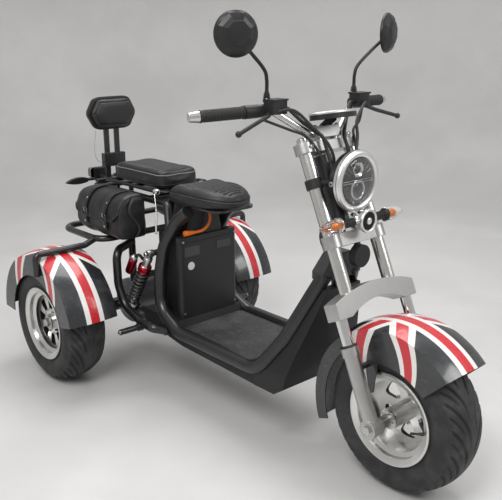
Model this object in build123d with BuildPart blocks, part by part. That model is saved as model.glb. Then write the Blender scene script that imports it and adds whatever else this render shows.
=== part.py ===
from build123d import *
import os
from math import asin, cos, radians, sin, sqrt, tan

os.makedirs("parts", exist_ok=True)

# Driving dimensions in millimetres. +X is forward, +Y is the rider's left, +Z is up,
# the ground is Z = 0 and the origin is under the middle of the vehicle.
wheelbase = 1345.0
track = 774.0
rear_x = -622.85
front_x = rear_x + wheelbase
gap = 0.3

# Tyres and rims, the same section front and rear
tyre_r = 230.0
tyre_half_w = 83.0
tread_half_w = 71.0
tread_drop = 20.0
bead_r = 126.0
bead_half_w = 68.0
rim_flange_r = 140.0
rim_flange_t = 9.0
rim_wall = 7.0
rim_well_r = 112.0
disc_t = 14.0
hub_r = 30.0
axle_r = 9.7
hub_bore_r = axle_r + gap
front_disc_y = 30.0
rear_disc_y = 30.0
front_windows = 6
rear_windows = 8
rim_half_w = bead_half_w + rim_flange_t
front_hub_out = 72.0
front_hub_in = 70.0
rear_hub_out = 48.0
rear_hub_in = 60.0

# Steering and fork: the fork's plane holds the front axle and leans back by the rake
rake = 24.0
stem_behind = 35.0
leg_y = 145.0
leg_r = 22.0
leg_top = 232.0
leg_collar = 26.0
leg_foot_r = 27.0
leg_bore = 40.0
stanchion_r = 17.0
stanchion_top = 352.0
upper_tube_y = 96.0
upper_tube_r = 20.0
upper_tube_low = 350.0
brace_low = 312.0
brace_band = 62.0
brace_rise = 30.0
brace_t = 50.0
brace_lip = 9.0
lower_clamp_s = 508.0
lower_clamp_t = 38.0
upper_clamp_s = 790.0
upper_clamp_t = 30.0
clamp_margin = 9.0
stem_r = 14.0
head_tube_r = 30.0
head_gap = 6.0
tube_cap = 10.0

# Front brake on the left of the wheel
brake_disc_r = 82.0
brake_disc_t = 5.0
brake_disc_y = 100.0

# Fenders, measured from their wheel's axle
fender_clear = 51.0
fender_wall = 3.0
fender_r = tyre_r + fender_clear + fender_wall
fender_edge_r = fender_r - 16
front_fender_half_w = 92.0
rear_fender_half_w = 97.0
front_fender_angles = (44.0, 128.0, 200.0)
front_skirt_r = (168.0, 228.0)
rear_fender_angles = (13.0, 178.0)
rear_skirt_r = 192.0
ear_low_r = 88.0
lug_r = 9.0
lug_s = 168.0

# Side rails: a hoop round the battery, a deck run and a leg up to the head
rail_r = 23.5
rail_y = 165.0
deck_z = 255.0
rail_route = (
    (464, 105, 688),
    (404, 112, 642),
    (340, 126, 545),
    (330, 140, 440),
    (350, 158, 310),
    (470, rail_y, deck_z),
    (wheelbase - 455, rail_y, deck_z),
    (wheelbase - 370, 128, 372),
    (wheelbase - 267, 60, 596),
)
rail_bends = (120, 150, 170, 100, 90, 90, 200)

# Deck, belly, leg fairing and battery
belly_z = 192.0
mat_t = 5.0
mat_half_w = 140.0
mat_rear = 457.0
tray_rear = 238.0
tray_front = wheelbase - 477.0
mat_front = tray_front - 6
tray_half_w = 158.0
shelf_z = 286.0
shelf_front = 448.0
fairing_top_z = 552.0
fairing_top_half_w = 72.0
battery_depth = 196.0
battery_half_w = 130.0
battery_core_half_w = 92.0
battery_front_t = 36.0
battery_top = 590.0
battery_corner = 14.0
cover_len = 98.0
cover_half_w = 80.0
cover_slope = 8.0

# Seats
driver_seat_rear = 353.0
driver_seat_len = 275.0
driver_seat_half_w = 112.0
driver_seat_z = 708.0
nose_len = 150.0
nose_drop = 18.0
driver_seat_h = 66.0
pan_t = 8.0
pan_margin = 20.0
passenger_rear = -50.0
passenger_len = 336.0
passenger_half_w = 96.0
passenger_z = 738.0
passenger_h = 66.0
seat_tube_r = 7.0
seat_tube_y = 104.0
seat_tube_z = passenger_z - gap - seat_tube_r
seat_knob_r = 11.0

# Backrest
back_z = 978.0
back_half_w = 112.0
back_half_h = 64.0
back_point = 34.0
back_pad_t = 34.0
back_shell_t = 34.0
post_y = 24.0
post_w = 22.0
post_t = 8.0

# Saddlebags
bag_rear = -82.0
bag_front = 233.0
bag_in_y = 114.0
bag_out_y = 252.0
bag_top_z = 722.0

# Rear frame, axle and shocks
frame_r = 14.0
spine_y = 78.0
spine_z = 686.0
spine_rear = -190.0
loop_y = 250.0
loop_z = 538.0
loop_r = 12.5
loop_rear = -190.0
upright_x = 70.0
upright_y = 92.0
guard_r = 16.0
guard_y = 210.0
peg_r = 11.0
peg_x = 298.0
peg_y = 305.0
peg_root_y = 229.0
peg_z = 240.0
fender_bar_r = 12.0
fender_bar_x = 60.0
axle_tube_r = 26.0
axle_tube_end = 300.0
arm_y = 136.0
arm_r = 15.0
motor_r = 92.0
motor_half_w = 84.0
shock_y = 170.0
shock_top = (312.0, 516.0)
shock_foot = (158.0, 264.0)
shock_eye_r = 14.0
shock_eye_w = 26.0
shock_pin_r = 6.0
coil_r = 25.0
wire_r = 4.5
coil_turns = 9
can_len = 64.0
can_r = 14.0

# Handlebar and what it carries, measured from the front axle
bar_r = 11.0
bar_z = 774.0
bar_x = -339.0
clamp_half_w = 50.0
grip_r = 16.5
bar_end_len = 30.0
housing_r = 19.0
lever_r = 6.0
lever_ball_r = 9.0
mirror_at = (-369.0, 312.0, 1055.0)
mirror_r = 61.0
mirror_turn = 22.0
mirror_t = 24.0
stalk_r = 5.5
display_tilt = 10.0
lamp_x = -197.0
lamp_z = 647.0
lamp_r = 90.0
lamp_ring_t = 22.0
lamp_depth = 58.0
horn_x = -161.0
horn_z = 539.0
horn_r = 32.0
sounder_r = 34.0
sounder_t = 24.0

# Rear lamps
rear_lamp_x = -300.0


def at(x, y, z):
    """A point measured from the ground under the rear axle."""
    return Vector(rear_x + x, y, z)


def side_view(points):
    """Points of x from the rear axle and z, as a sketch on Plane.XZ takes them."""
    return [(rear_x + x, z) for x, z in points]


fork_up = Vector(-sin(radians(rake)), 0, cos(radians(rake)))
fork_ahead = Vector(cos(radians(rake)), 0, sin(radians(rake)))
front_axle = Vector(front_x, 0, tyre_r)


def by_wheel(x, y, z):
    """A point measured from the middle of the front axle."""
    return front_axle + Vector(x, y, z)


def wheel_view(points):
    """Points of x and z from the front axle, as a sketch on Plane.XZ takes them."""
    return [(front_x + x, tyre_r + z) for x, z in points]


def on_fork(ahead, y, along):
    """A point by its distance ahead of the fork's plane, sideways, and up along the fork."""
    return front_axle + fork_ahead * ahead + Vector(0, y, 0) + fork_up * along


def fork_plane(ahead, y, along):
    """A plane square to the fork's tubes, its X ahead."""
    return Plane(origin=on_fork(ahead, y, along), x_dir=fork_ahead, z_dir=fork_up)


def tube(points, bends, radius, mode=Mode.ADD):
    """Adds a round tube along straight runs joined by bends to the part being built."""
    with BuildLine() as route:
        FilletPolyline(*points, radius=bends)
    with BuildSketch(Plane(origin=route.line @ 0, z_dir=route.line % 0)) as section:
        Circle(radius)
    sweep(sections=section.sketch, path=route.line, mode=mode)


def rod(start, end, radius, mode=Mode.ADD):
    """Adds a straight round bar between two points to the part being built."""
    start = Vector(*start)
    reach = Vector(*end) - start
    with BuildSketch(Plane(origin=start, z_dir=reach)) as section:
        Circle(radius)
    extrude(section.sketch, amount=reach.length, mode=mode)


def fork_bar(ahead, y, low, high, radius, mode=Mode.ADD):
    """Adds a round bar parallel to the fork's tubes to the part being built."""
    rod(on_fork(ahead, y, low), on_fork(ahead, y, high), radius, mode)


def finish(piece, name):
    """Labels a sub-part and writes its file."""
    piece.part.label = name
    export_step(piece.part, "parts/" + name + ".step")


def make_tyre(x, y):
    """A tyre with a rounded crown, bulged walls and beads that sit in the rim."""
    shoulder_r = tyre_r - tread_drop
    lip_r = rim_flange_r + 2 * gap
    wall_r = (shoulder_r + lip_r) / 2
    with BuildPart() as tyre:
        with BuildSketch(Plane.XY.move(Location((x, y, tyre_r)))):
            with BuildLine():
                ThreePointArc((shoulder_r, -tread_half_w), (tyre_r, 0), (shoulder_r, tread_half_w))
                ThreePointArc((shoulder_r, tread_half_w), (wall_r, tyre_half_w), (lip_r, bead_half_w))
                Polyline(
                    (lip_r, bead_half_w),
                    (bead_r, bead_half_w),
                    (bead_r, -bead_half_w),
                    (lip_r, -bead_half_w),
                )
                ThreePointArc((lip_r, -bead_half_w), (wall_r, -tyre_half_w), (shoulder_r, -tread_half_w))
            make_face()
        revolve(axis=Axis((x, y, tyre_r), (0, 1, 0)))
    return tyre


def window_sketch(near_r, far_r, near_half, far_half, corner):
    """One window of a wheel disc: wide at the rim and narrow at the hub."""
    with BuildSketch() as window:
        with BuildLine():
            near_low = Vector(near_r, 0).rotate(Axis.Z, -near_half)
            near_high = Vector(near_r, 0).rotate(Axis.Z, near_half)
            far_low = Vector(far_r, 0).rotate(Axis.Z, -far_half)
            far_high = Vector(far_r, 0).rotate(Axis.Z, far_half)
            Line(near_low, far_low)
            ThreePointArc(far_low, (far_r, 0), far_high)
            Line(far_high, near_high)
            ThreePointArc(near_high, (near_r, 0), near_low)
        make_face()
        fillet(window.vertices(), corner)
    return window.sketch


def make_rim(x, y, disc_y, windows, window, hub_low, hub_high):
    """A deep rim with flanges, a window disc and a hub barrel bored for the axle."""
    seat_r = bead_r - gap
    seat_y = bead_half_w + gap
    well_in = rim_well_r - rim_wall
    with BuildPart() as rim:
        with BuildSketch(Plane.XY.move(Location((x, y, tyre_r)))):
            with BuildLine():
                Polyline(
                    (rim_flange_r, -rim_half_w),
                    (rim_flange_r, -seat_y),
                    (seat_r, -seat_y),
                    (seat_r, seat_y),
                    (rim_flange_r, seat_y),
                    (rim_flange_r, rim_half_w),
                    (rim_flange_r - rim_wall, rim_half_w),
                    (seat_r - rim_wall, rim_half_w - rim_wall),
                    (seat_r - rim_wall, rim_half_w - 3 * rim_wall),
                    (well_in, rim_half_w - 4 * rim_wall),
                    (well_in, -rim_half_w + 4 * rim_wall),
                    (seat_r - rim_wall, -rim_half_w + 3 * rim_wall),
                    (seat_r - rim_wall, -rim_half_w + rim_wall),
                    (rim_flange_r - rim_wall, -rim_half_w),
                    close=True,
                )
            make_face()
            with Locations(((hub_r + well_in) / 2, disc_y)):
                Rectangle(well_in - hub_r + 2, disc_t)
            with Locations(((hub_r + hub_bore_r) / 2, (hub_low + hub_high) / 2)):
                Rectangle(hub_r - hub_bore_r, hub_high - hub_low)
        revolve(axis=Axis((x, y, tyre_r), (0, 1, 0)))
        with BuildSketch(Plane(origin=(x, y + disc_y - disc_t, tyre_r), z_dir=(0, 1, 0))):
            with PolarLocations(0, windows):
                add(window)
        extrude(amount=2 * disc_t, mode=Mode.SUBTRACT)
    return rim


# Front wheel with its brake disc on the hub
finish(make_tyre(front_x, 0), "front_tyre")
front_window = window_sketch(45, 92, 15, 19, 10)
front_rim = make_rim(front_x, 0, front_disc_y, front_windows, front_window, -front_hub_out, front_hub_in)
finish(front_rim, "front_rim")

with BuildPart() as brake_disc:
    rod((front_x, brake_disc_y, tyre_r), (front_x, brake_disc_y + brake_disc_t, tyre_r), brake_disc_r)
    rod((front_x, front_hub_in + gap, tyre_r), (front_x, brake_disc_y, tyre_r), hub_r)
    rod((front_x, front_hub_in, tyre_r), (front_x, brake_disc_y + 10, tyre_r), hub_bore_r, Mode.SUBTRACT)
    with BuildSketch(Plane(origin=(front_x, brake_disc_y - 1, tyre_r), z_dir=(0, 1, 0))):
        with PolarLocations(56, 8):
            Circle(9)
    extrude(amount=brake_disc_t + 2, mode=Mode.SUBTRACT)
finish(brake_disc, "brake_disc")

# Rear wheels, each window disc towards the outside
rear_window = window_sketch(50, 96, 13, 12, 5)
for side, sign in (("right", -1), ("left", 1)):
    wheel_y = sign * track / 2
    finish(make_tyre(rear_x, wheel_y), "rear_tyre_" + side)
    hub_ends = sorted((sign * rear_hub_out, -sign * rear_hub_in))
    rear_rim = make_rim(rear_x, wheel_y, sign * rear_disc_y, rear_windows, rear_window, *hub_ends)
    finish(rear_rim, "rear_rim_" + side)

# Fork legs: lower castings with a collar above and a foot at the axle
leg_in_y = leg_y - leg_r
with BuildPart() as fork_legs:
    for sign in (-1, 1):
        fork_bar(0, sign * leg_y, -18, leg_top, leg_r)
        fork_bar(0, sign * leg_y, leg_top - leg_collar, leg_top, leg_r + 3)
        rod((front_x, sign * leg_in_y, tyre_r), (front_x, sign * (leg_y + leg_r), tyre_r), leg_foot_r)
        fork_bar(0, sign * leg_y, leg_top - leg_bore, leg_top + 1, stanchion_r + gap, Mode.SUBTRACT)
finish(fork_legs, "fork_legs")

# Front axle between the feet, with a spacer each side of the hub
spacer_ends = ((-leg_in_y + gap, -front_hub_out - gap), (brake_disc_y + brake_disc_t + 2, leg_in_y - gap))
with BuildPart() as front_axle_bar:
    rod((front_x, -leg_in_y + gap, tyre_r), (front_x, leg_in_y - gap, tyre_r), axle_r)
    for first, last in spacer_ends:
        rod((front_x, first, tyre_r), (front_x, last, tyre_r), axle_r + 7)
finish(front_axle_bar, "front_axle")

with BuildPart() as fork_stanchions:
    for sign in (-1, 1):
        fork_bar(0, sign * leg_y, leg_top - leg_bore + gap, stanchion_top, stanchion_r)
finish(fork_stanchions, "fork_stanchions")

# Arched fork brace: holds the narrow upper tubes and the wide stanchions
brace_out_y = leg_y + stanchion_r + brace_lip
brace_in_y = leg_y - stanchion_r - brace_lip
brace_high = brace_low + brace_band
with BuildPart() as fork_brace:
    with BuildSketch(Plane(origin=on_fork(-brace_t / 2, 0, 0), x_dir=(0, 1, 0), z_dir=fork_ahead)):
        with BuildLine():
            Line((brace_out_y, brace_high - 14), (brace_out_y, brace_low))
            Line((brace_out_y, brace_low), (brace_in_y, brace_low))
            ThreePointArc((brace_in_y, brace_low), (0, brace_low + brace_rise), (-brace_in_y, brace_low))
            Line((-brace_in_y, brace_low), (-brace_out_y, brace_low))
            Line((-brace_out_y, brace_low), (-brace_out_y, brace_high - 14))
            ThreePointArc(
                (-brace_out_y, brace_high - 14),
                (0, brace_high + brace_rise - 14),
                (brace_out_y, brace_high - 14),
            )
        make_face()
    extrude(amount=brace_t)
    for sign in (-1, 1):
        fork_bar(0, sign * leg_y, brace_low - 1, stanchion_top + gap, stanchion_r + gap, Mode.SUBTRACT)
        tube_seat_low = upper_tube_low - gap
        fork_bar(0, sign * upper_tube_y, tube_seat_low, brace_high + 90, upper_tube_r + gap, Mode.SUBTRACT)
finish(fork_brace, "fork_brace")

upper_tube_high = upper_clamp_s + upper_clamp_t + 4
with BuildPart() as fork_tubes:
    for sign in (-1, 1):
        fork_bar(0, sign * upper_tube_y, upper_tube_low, upper_tube_high, upper_tube_r)
        fork_bar(0, sign * upper_tube_y, upper_tube_high, upper_tube_high + tube_cap, upper_tube_r - 4)
finish(fork_tubes, "fork_tubes")

# Triple clamps and the stem that turns in the head tube
with BuildPart() as fork_clamps:
    for along, thick in ((lower_clamp_s, lower_clamp_t), (upper_clamp_s, upper_clamp_t)):
        with BuildSketch(fork_plane(0, 0, along)):
            with Locations((0, upper_tube_y), (0, -upper_tube_y)):
                Circle(upper_tube_r + clamp_margin)
            with BuildLine():
                Polyline(
                    (upper_tube_r, -upper_tube_y),
                    (upper_tube_r, upper_tube_y),
                    (-upper_tube_r, upper_tube_y),
                    (-stem_behind - 26, 24),
                    (-stem_behind - 26, -24),
                    (-upper_tube_r, -upper_tube_y),
                    close=True,
                )
            make_face()
        extrude(amount=thick)
    fork_bar(-stem_behind, 0, lower_clamp_s, upper_clamp_s + 1, stem_r)
    for sign in (-1, 1):
        fork_bar(
            0, sign * upper_tube_y, lower_clamp_s - 1, upper_tube_high + 1, upper_tube_r + gap, Mode.SUBTRACT
        )
finish(fork_clamps, "fork_clamps")

# Head tube with the neck that runs down into the leg fairing
head_low = lower_clamp_s + lower_clamp_t + head_gap
head_high = upper_clamp_s - head_gap
neck_x = wheelbase - 265
neck_route = (
    on_fork(-stem_behind - 12, 0, head_low + 60),
    at(neck_x - 58, 0, 690),
    at(neck_x, 0, 600),
    at(neck_x, 0, fairing_top_z + gap),
)
neck_r = 24.0
yoke_low = 575.0
yoke_high = 655.0
yoke_rear = neck_x - 34
yoke_t = 44.0


def rail_points(sign):
    """One side rail's route."""
    return [at(x, sign * y, z) for x, y, z in rail_route]


def cut_rails():
    """Cuts both rails' seats out of the part being built."""
    for sign in (-1, 1):
        tube(rail_points(sign), rail_bends, rail_r + gap, Mode.SUBTRACT)


with BuildPart() as head_tube:
    fork_bar(-stem_behind, 0, head_low, head_high, head_tube_r)
    tube(neck_route, (30, 60), neck_r)
    with BuildSketch(Plane.YZ.offset(rear_x + yoke_rear)):
        with BuildLine():
            Polyline(
                (-84, yoke_low + 6),
                (-84, yoke_low + 30),
                (-36, yoke_high),
                (36, yoke_high),
                (84, yoke_low + 30),
                (84, yoke_low + 6),
                (66, yoke_low),
                (-66, yoke_low),
                close=True,
            )
        make_face()
    extrude(amount=yoke_t)
    cut_rails()
    fork_bar(-stem_behind, 0, head_low - 1, head_high + 1, stem_r + gap, Mode.SUBTRACT)
finish(head_tube, "head_tube")

# Side rails, with the pins that hold the shocks' upper eyes
shock_in_y = shock_y - shock_eye_w / 2
shock_out_y = shock_y + shock_eye_w / 2
top_x, top_z = shock_top
for side, sign in (("right", -1), ("left", 1)):
    with BuildPart() as rail:
        tube(rail_points(sign), rail_bends, rail_r)
        rod(at(top_x, sign * (shock_in_y - 24), top_z), at(top_x, sign * (shock_in_y - gap), top_z), 11)
        pin_root = at(top_x, sign * (shock_in_y - 9), top_z)
        rod(pin_root, at(top_x, sign * (shock_out_y + 4), top_z), shock_pin_r)
    finish(rail, "rail_" + side)

# Deck tray: a floor and belly between the rails with a shelf for the battery
with BuildPart() as deck_tray:
    with BuildSketch(Plane.XZ):
        with BuildLine():
            Polyline(
                *side_view((
                    (tray_rear, 236),
                    (tray_rear, shelf_z),
                    (shelf_front, shelf_z),
                    (mat_rear, deck_z),
                    (tray_front, deck_z),
                    (tray_front, belly_z),
                    (mat_rear + 20, belly_z + 10),
                )),
                close=True,
            )
        make_face()
    extrude(amount=tray_half_w, both=True)
    cut_rails()
finish(deck_tray, "deck_tray")

with BuildPart() as deck_mat:
    with BuildSketch(Plane.XY.offset(deck_z + gap)):
        with Locations((rear_x + (mat_rear + mat_front) / 2 + 2, 0)):
            RectangleRounded(mat_front - mat_rear - 4, 2 * mat_half_w, 12)
    extrude(amount=mat_t)
finish(deck_mat, "deck_mat")

# Leg fairing: its side outline crossed with a front outline that narrows towards the head
with BuildPart() as leg_fairing:
    with BuildSketch(Plane.XZ):
        with BuildLine():
            Polyline(
                *side_view((
                    (tray_front + gap, belly_z),
                    (tray_front + gap, deck_z),
                    (tray_front + 42, deck_z + 8),
                    (wheelbase - 360, 372),
                    (wheelbase - 279, fairing_top_z),
                    (wheelbase - 245, fairing_top_z),
                    (wheelbase - 273, 452),
                    (wheelbase - 315, 320),
                    (wheelbase - 341, 222),
                    (wheelbase - 385, belly_z),
                )),
                close=True,
            )
        make_face()
    extrude(amount=rail_y, both=True)
    with BuildSketch(Plane.YZ.offset(rear_x + tray_front)):
        with BuildLine():
            Polyline(
                (-tray_half_w, belly_z - 20),
                (-rail_y, deck_z + 10),
                (-fairing_top_half_w, fairing_top_z + 8),
                (fairing_top_half_w, fairing_top_z + 8),
                (rail_y, deck_z + 10),
                (tray_half_w, belly_z - 20),
                close=True,
            )
        make_face()
    extrude(amount=400, mode=Mode.INTERSECT)
    cut_rails()
finish(leg_fairing, "leg_fairing")

# Battery box between the hoops
with BuildPart() as battery_box:
    with BuildSketch(Plane.XY.offset(shelf_z + gap)):
        with Locations((rear_x + shelf_front - 2 - battery_depth / 2, 0)):
            RectangleRounded(battery_depth, 2 * battery_core_half_w, battery_corner)
        with Locations((rear_x + shelf_front - 2 - battery_front_t / 2, 0)):
            RectangleRounded(battery_front_t, 2 * battery_half_w, battery_corner)
    extrude(amount=battery_top - shelf_z - gap)
    with BuildSketch(Plane.XY.offset(battery_top)):
        with Locations((rear_x + shelf_front - 20 - cover_len / 2, 0)):
            RectangleRounded(cover_len, 2 * cover_half_w, battery_corner)
    extrude(amount=driver_seat_z - pan_t - 2 * gap - battery_top, taper=cover_slope)
finish(battery_box, "battery_box")

# Driver's seat on its pan, which lies on the battery box's upper cover
gland_x = 437.0
gland_y = 10.0
gland_low = driver_seat_z - pan_t - 6
seat_mid_x = rear_x + driver_seat_rear + driver_seat_len / 2
with BuildPart() as seat_pan:
    with BuildSketch(Plane.XY.offset(driver_seat_z - gap - pan_t)):
        with Locations((seat_mid_x, 0)):
            RectangleRounded(driver_seat_len - 2 * pan_margin, 2 * (driver_seat_half_w - pan_margin), 40)
    extrude(amount=pan_t)
    rod(at(gland_x, gland_y, gland_low), at(gland_x, gland_y, driver_seat_z - pan_t), 9)
    cut_rails()
finish(seat_pan, "seat_pan")

with BuildPart() as driver_seat:
    tail = rear_x + driver_seat_rear
    nose = tail + driver_seat_len
    shoulder = nose - nose_len
    with BuildSketch(Plane.XY.offset(driver_seat_z)):
        with BuildLine():
            Polyline(
                (shoulder, -driver_seat_half_w),
                (tail + 16, -driver_seat_half_w),
                (tail, -driver_seat_half_w + 16),
                (tail, driver_seat_half_w - 16),
                (tail + 16, driver_seat_half_w),
                (shoulder, driver_seat_half_w),
            )
            EllipticalCenterArc((shoulder, 0), nose_len, driver_seat_half_w, start_angle=-90, arc_size=180)
        make_face()
    extrude(amount=driver_seat_h)
    with BuildSketch(Plane.XZ):
        with BuildLine():
            crown_z = driver_seat_z + driver_seat_h
            Polyline(
                (nose, crown_z - nose_drop),
                (nose, driver_seat_z),
                (tail, driver_seat_z),
                (tail, crown_z - 6),
            )
            ThreePointArc((tail, crown_z - 6), (seat_mid_x - 20, crown_z), (nose, crown_z - nose_drop))
        make_face()
    extrude(amount=driver_seat_half_w, both=True, mode=Mode.INTERSECT)
    fillet(driver_seat.faces().sort_by(Axis.Z)[-1].edges(), 14)
finish(driver_seat, "driver_seat")

# Passenger seat on its chrome rails
with BuildPart() as passenger_seat:
    with BuildSketch(Plane.XY.offset(passenger_z)):
        with Locations((rear_x + passenger_rear + passenger_len / 2, 0)):
            RectangleRounded(passenger_len, 2 * passenger_half_w, 20)
    extrude(amount=passenger_h)
    fillet(passenger_seat.faces().sort_by(Axis.Z)[-1].edges(), 12)
finish(passenger_seat, "passenger_seat")

spine_top_z = spine_z + frame_r
with BuildPart() as seat_rail:
    for sign in (-1, 1):
        rod(at(-70, sign * seat_tube_y, seat_tube_z), at(268, sign * seat_tube_y, seat_tube_z), seat_tube_r)
        with Locations(at(272, sign * seat_tube_y, seat_tube_z)):
            Sphere(seat_knob_r)
        for x in (-30, 240):
            rod(at(x, sign * spine_y, spine_top_z + gap), at(x, sign * spine_y, seat_tube_z), seat_tube_r - 1)
    for x in (-30, 120, 240):
        rod(at(x, -seat_tube_y, seat_tube_z), at(x, seat_tube_y, seat_tube_z), seat_tube_r - 1)
finish(seat_rail, "seat_rail")

# Rear frame: spines under the passenger seat, uprights and cross tubes
with BuildPart() as rear_frame:
    for sign in (-1, 1):
        tube(
            (
                at(365, sign * 118, 590),
                at(300, sign * spine_y, spine_z),
                at(spine_rear, sign * spine_y, spine_z),
            ),
            40,
            frame_r,
        )
        tube(
            (
                at(upright_x + 50, sign * spine_y, spine_z),
                at(upright_x, sign * upright_y, loop_z + 40),
                at(upright_x, sign * upright_y, loop_z - 200),
            ),
            60,
            frame_r,
        )
    for x in (spine_rear + 25, 180):
        rod(at(x, -spine_y, spine_z), at(x, spine_y, spine_z), frame_r - 2)
    rod(at(upright_x, -upright_y, loop_z - 190), at(upright_x, upright_y, loop_z - 190), frame_r - 1)
    cut_rails()
finish(rear_frame, "rear_frame")

# Rear loop that lies against the uprights, its struts under the spines and the bars over the fenders
loop_front = upright_x + frame_r + gap + loop_r
fender_crown_z = tyre_r + sqrt(fender_r**2 - fender_bar_x**2)
fender_bar_z = fender_crown_z + gap + fender_bar_r
fender_out_y = track / 2 + rear_fender_half_w
bar_out_y = fender_out_y + gap + fender_bar_r
with BuildPart() as rear_loop:
    with BuildLine() as loop_line:
        FilletPolyline(
            at(loop_rear, loop_y, loop_z),
            at(loop_front, loop_y, loop_z),
            at(loop_front, -loop_y, loop_z),
            at(loop_rear, -loop_y, loop_z),
            radius=60,
            close=True,
        )
    with BuildSketch(Plane(origin=loop_line.line @ 0, z_dir=loop_line.line % 0)) as loop_section:
        Circle(loop_r)
    sweep(sections=loop_section.sketch, path=loop_line.line)
    for sign in (-1, 1):
        strut_foot = at(loop_rear + 6, sign * spine_y, loop_z)
        rod(strut_foot, strut_foot + Vector(0, 0, spine_z - frame_r - gap - loop_z), loop_r - 2)
        tube(
            (
                at(fender_bar_x, sign * (loop_y - 2), loop_z),
                at(fender_bar_x, sign * (loop_y + 45), fender_bar_z),
                at(fender_bar_x, sign * bar_out_y, fender_bar_z),
                at(fender_bar_x, sign * bar_out_y, fender_bar_z - 80),
            ),
            (20, 20),
            fender_bar_r,
        )
finish(rear_loop, "rear_loop")

# Guard tubes that sweep from the tray's sides up to the rear uprights, with the footpegs on them
guard_top = 500.0
guard_end_x = upright_x + 0.555 * (frame_r + gap)
guard_end_y = upright_y + 0.832 * (frame_r + gap)
with BuildPart() as guard_tubes:
    for sign in (-1, 1):
        tube(
            (
                at(396, sign * (tray_half_w + 10), peg_z),
                at(370, sign * guard_y, peg_z + 12),
                at(300, sign * (guard_y + 2), peg_z + 16),
                at(195, sign * (guard_y + 4), peg_z + 50),
                at(152, sign * (guard_y + 4), peg_z + 130),
                at(150, sign * (guard_y + 3), guard_top),
                at(guard_end_x, sign * guard_end_y, guard_top),
            ),
            (22, 60, 80, 80, 40),
            guard_r,
        )
        lug_root = at(396, sign * (tray_half_w + gap), peg_z)
        rod(lug_root, at(396, sign * (tray_half_w + 18), peg_z), guard_r + 1)
        rod(at(peg_x, sign * guard_y, peg_z), at(peg_x, sign * peg_root_y, peg_z), peg_r + 4)
        rod(at(peg_x, sign * guard_y, peg_z), at(peg_x, sign * peg_y, peg_z), peg_r)
finish(guard_tubes, "guard_tubes")


def fender_section(x, y, angle, half_w, skirt_r):
    """The fender's section as a sketch on a plane through the axle at one angle."""
    ahead = Vector(cos(radians(angle)), 0, sin(radians(angle)))
    edge_in_r = fender_edge_r - fender_wall
    half_in = half_w - fender_wall
    plane = Plane(origin=(x, y, tyre_r), x_dir=ahead, z_dir=ahead.cross(Vector(0, 1, 0)))
    with BuildSketch(plane) as section:
        with BuildLine():
            ThreePointArc((fender_edge_r, -half_w), (fender_r, 0), (fender_edge_r, half_w))
            Polyline(
                (fender_edge_r, half_w),
                (skirt_r, half_w),
                (skirt_r, half_in),
                (edge_in_r, half_in),
            )
            ThreePointArc((edge_in_r, half_in), (fender_r - fender_wall, 0), (edge_in_r, -half_in))
            Polyline(
                (edge_in_r, -half_in),
                (skirt_r, -half_in),
                (skirt_r, -half_w),
                (fender_edge_r, -half_w),
            )
        make_face()
    return section.sketch


def fender_run(x, y, first, last, half_w, skirt_r):
    """Adds a fender shell from one angle to another to the part being built."""
    axis = Axis((x, y, tyre_r), (0, -1, 0))
    revolve(profiles=fender_section(x, y, first, half_w, skirt_r), axis=axis, revolution_arc=last - first)


# Front fender with an ear and a lug on each side that reach the fork legs
lug_point = on_fork(0, 0, lug_s)
front_runs = zip(front_fender_angles, front_fender_angles[1:], front_skirt_r)
with BuildPart() as front_fender:
    for first, last, skirt_r in front_runs:
        fender_run(front_x, 0, first, last, front_fender_half_w, skirt_r)
    for sign in (-1, 1):
        ear_side = Plane.XZ.offset(-sign * (front_fender_half_w - fender_wall / 2))
        with BuildSketch(ear_side):
            with BuildLine():
                Polyline(
                    *wheel_view(((-44, 74), (-58, 66), (-120, 150), (-60, 172), (-34, 160))),
                    close=True,
                )
            make_face()
        extrude(amount=fender_wall / 2, both=True)
        rod(
            (lug_point.X, sign * (front_fender_half_w - 1), lug_point.Z),
            (lug_point.X, sign * (leg_in_y - gap), lug_point.Z),
            lug_r,
        )
finish(front_fender, "front_fender")

for side, sign in (("right", -1), ("left", 1)):
    with BuildPart() as rear_fender:
        fender_run(rear_x, sign * track / 2, *rear_fender_angles, rear_fender_half_w, rear_skirt_r)
    finish(rear_fender, "rear_fender_" + side)

# Rear axle tubes, stub shafts and swing arms with pins for the shocks' lower eyes
foot_x, foot_z = shock_foot
with BuildPart() as rear_axle:
    for sign in (-1, 1):
        rod(at(0, sign * (motor_half_w + gap), tyre_r), at(0, sign * axle_tube_end, tyre_r), axle_tube_r)
        axle_end_y = track / 2 + rear_hub_out + 14
        rod(at(0, sign * axle_tube_end, tyre_r), at(0, sign * axle_end_y, tyre_r), axle_r)
        tube(
            (
                at(0, sign * arm_y, tyre_r),
                at(150, sign * arm_y, 240),
                at(190, sign * arm_y, 261),
                at(tray_rear - gap, sign * arm_y, 261),
            ),
            (40, 40),
            arm_r,
        )
        rod(at(foot_x, sign * arm_y, 242), at(foot_x, sign * arm_y, foot_z), 10)
        rod(at(foot_x, sign * (arm_y - 8), foot_z), at(foot_x, sign * (shock_in_y - gap), foot_z), 10)
        rod(at(foot_x, sign * arm_y, foot_z), at(foot_x, sign * (shock_out_y + 4), foot_z), shock_pin_r)
finish(rear_axle, "rear_axle")

with BuildPart() as drive_motor:
    rod(at(0, -motor_half_w, tyre_r), at(0, motor_half_w, tyre_r), motor_r)
    chamfer(drive_motor.edges().filter_by(GeomType.CIRCLE), 10)
finish(drive_motor, "drive_motor")

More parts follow.
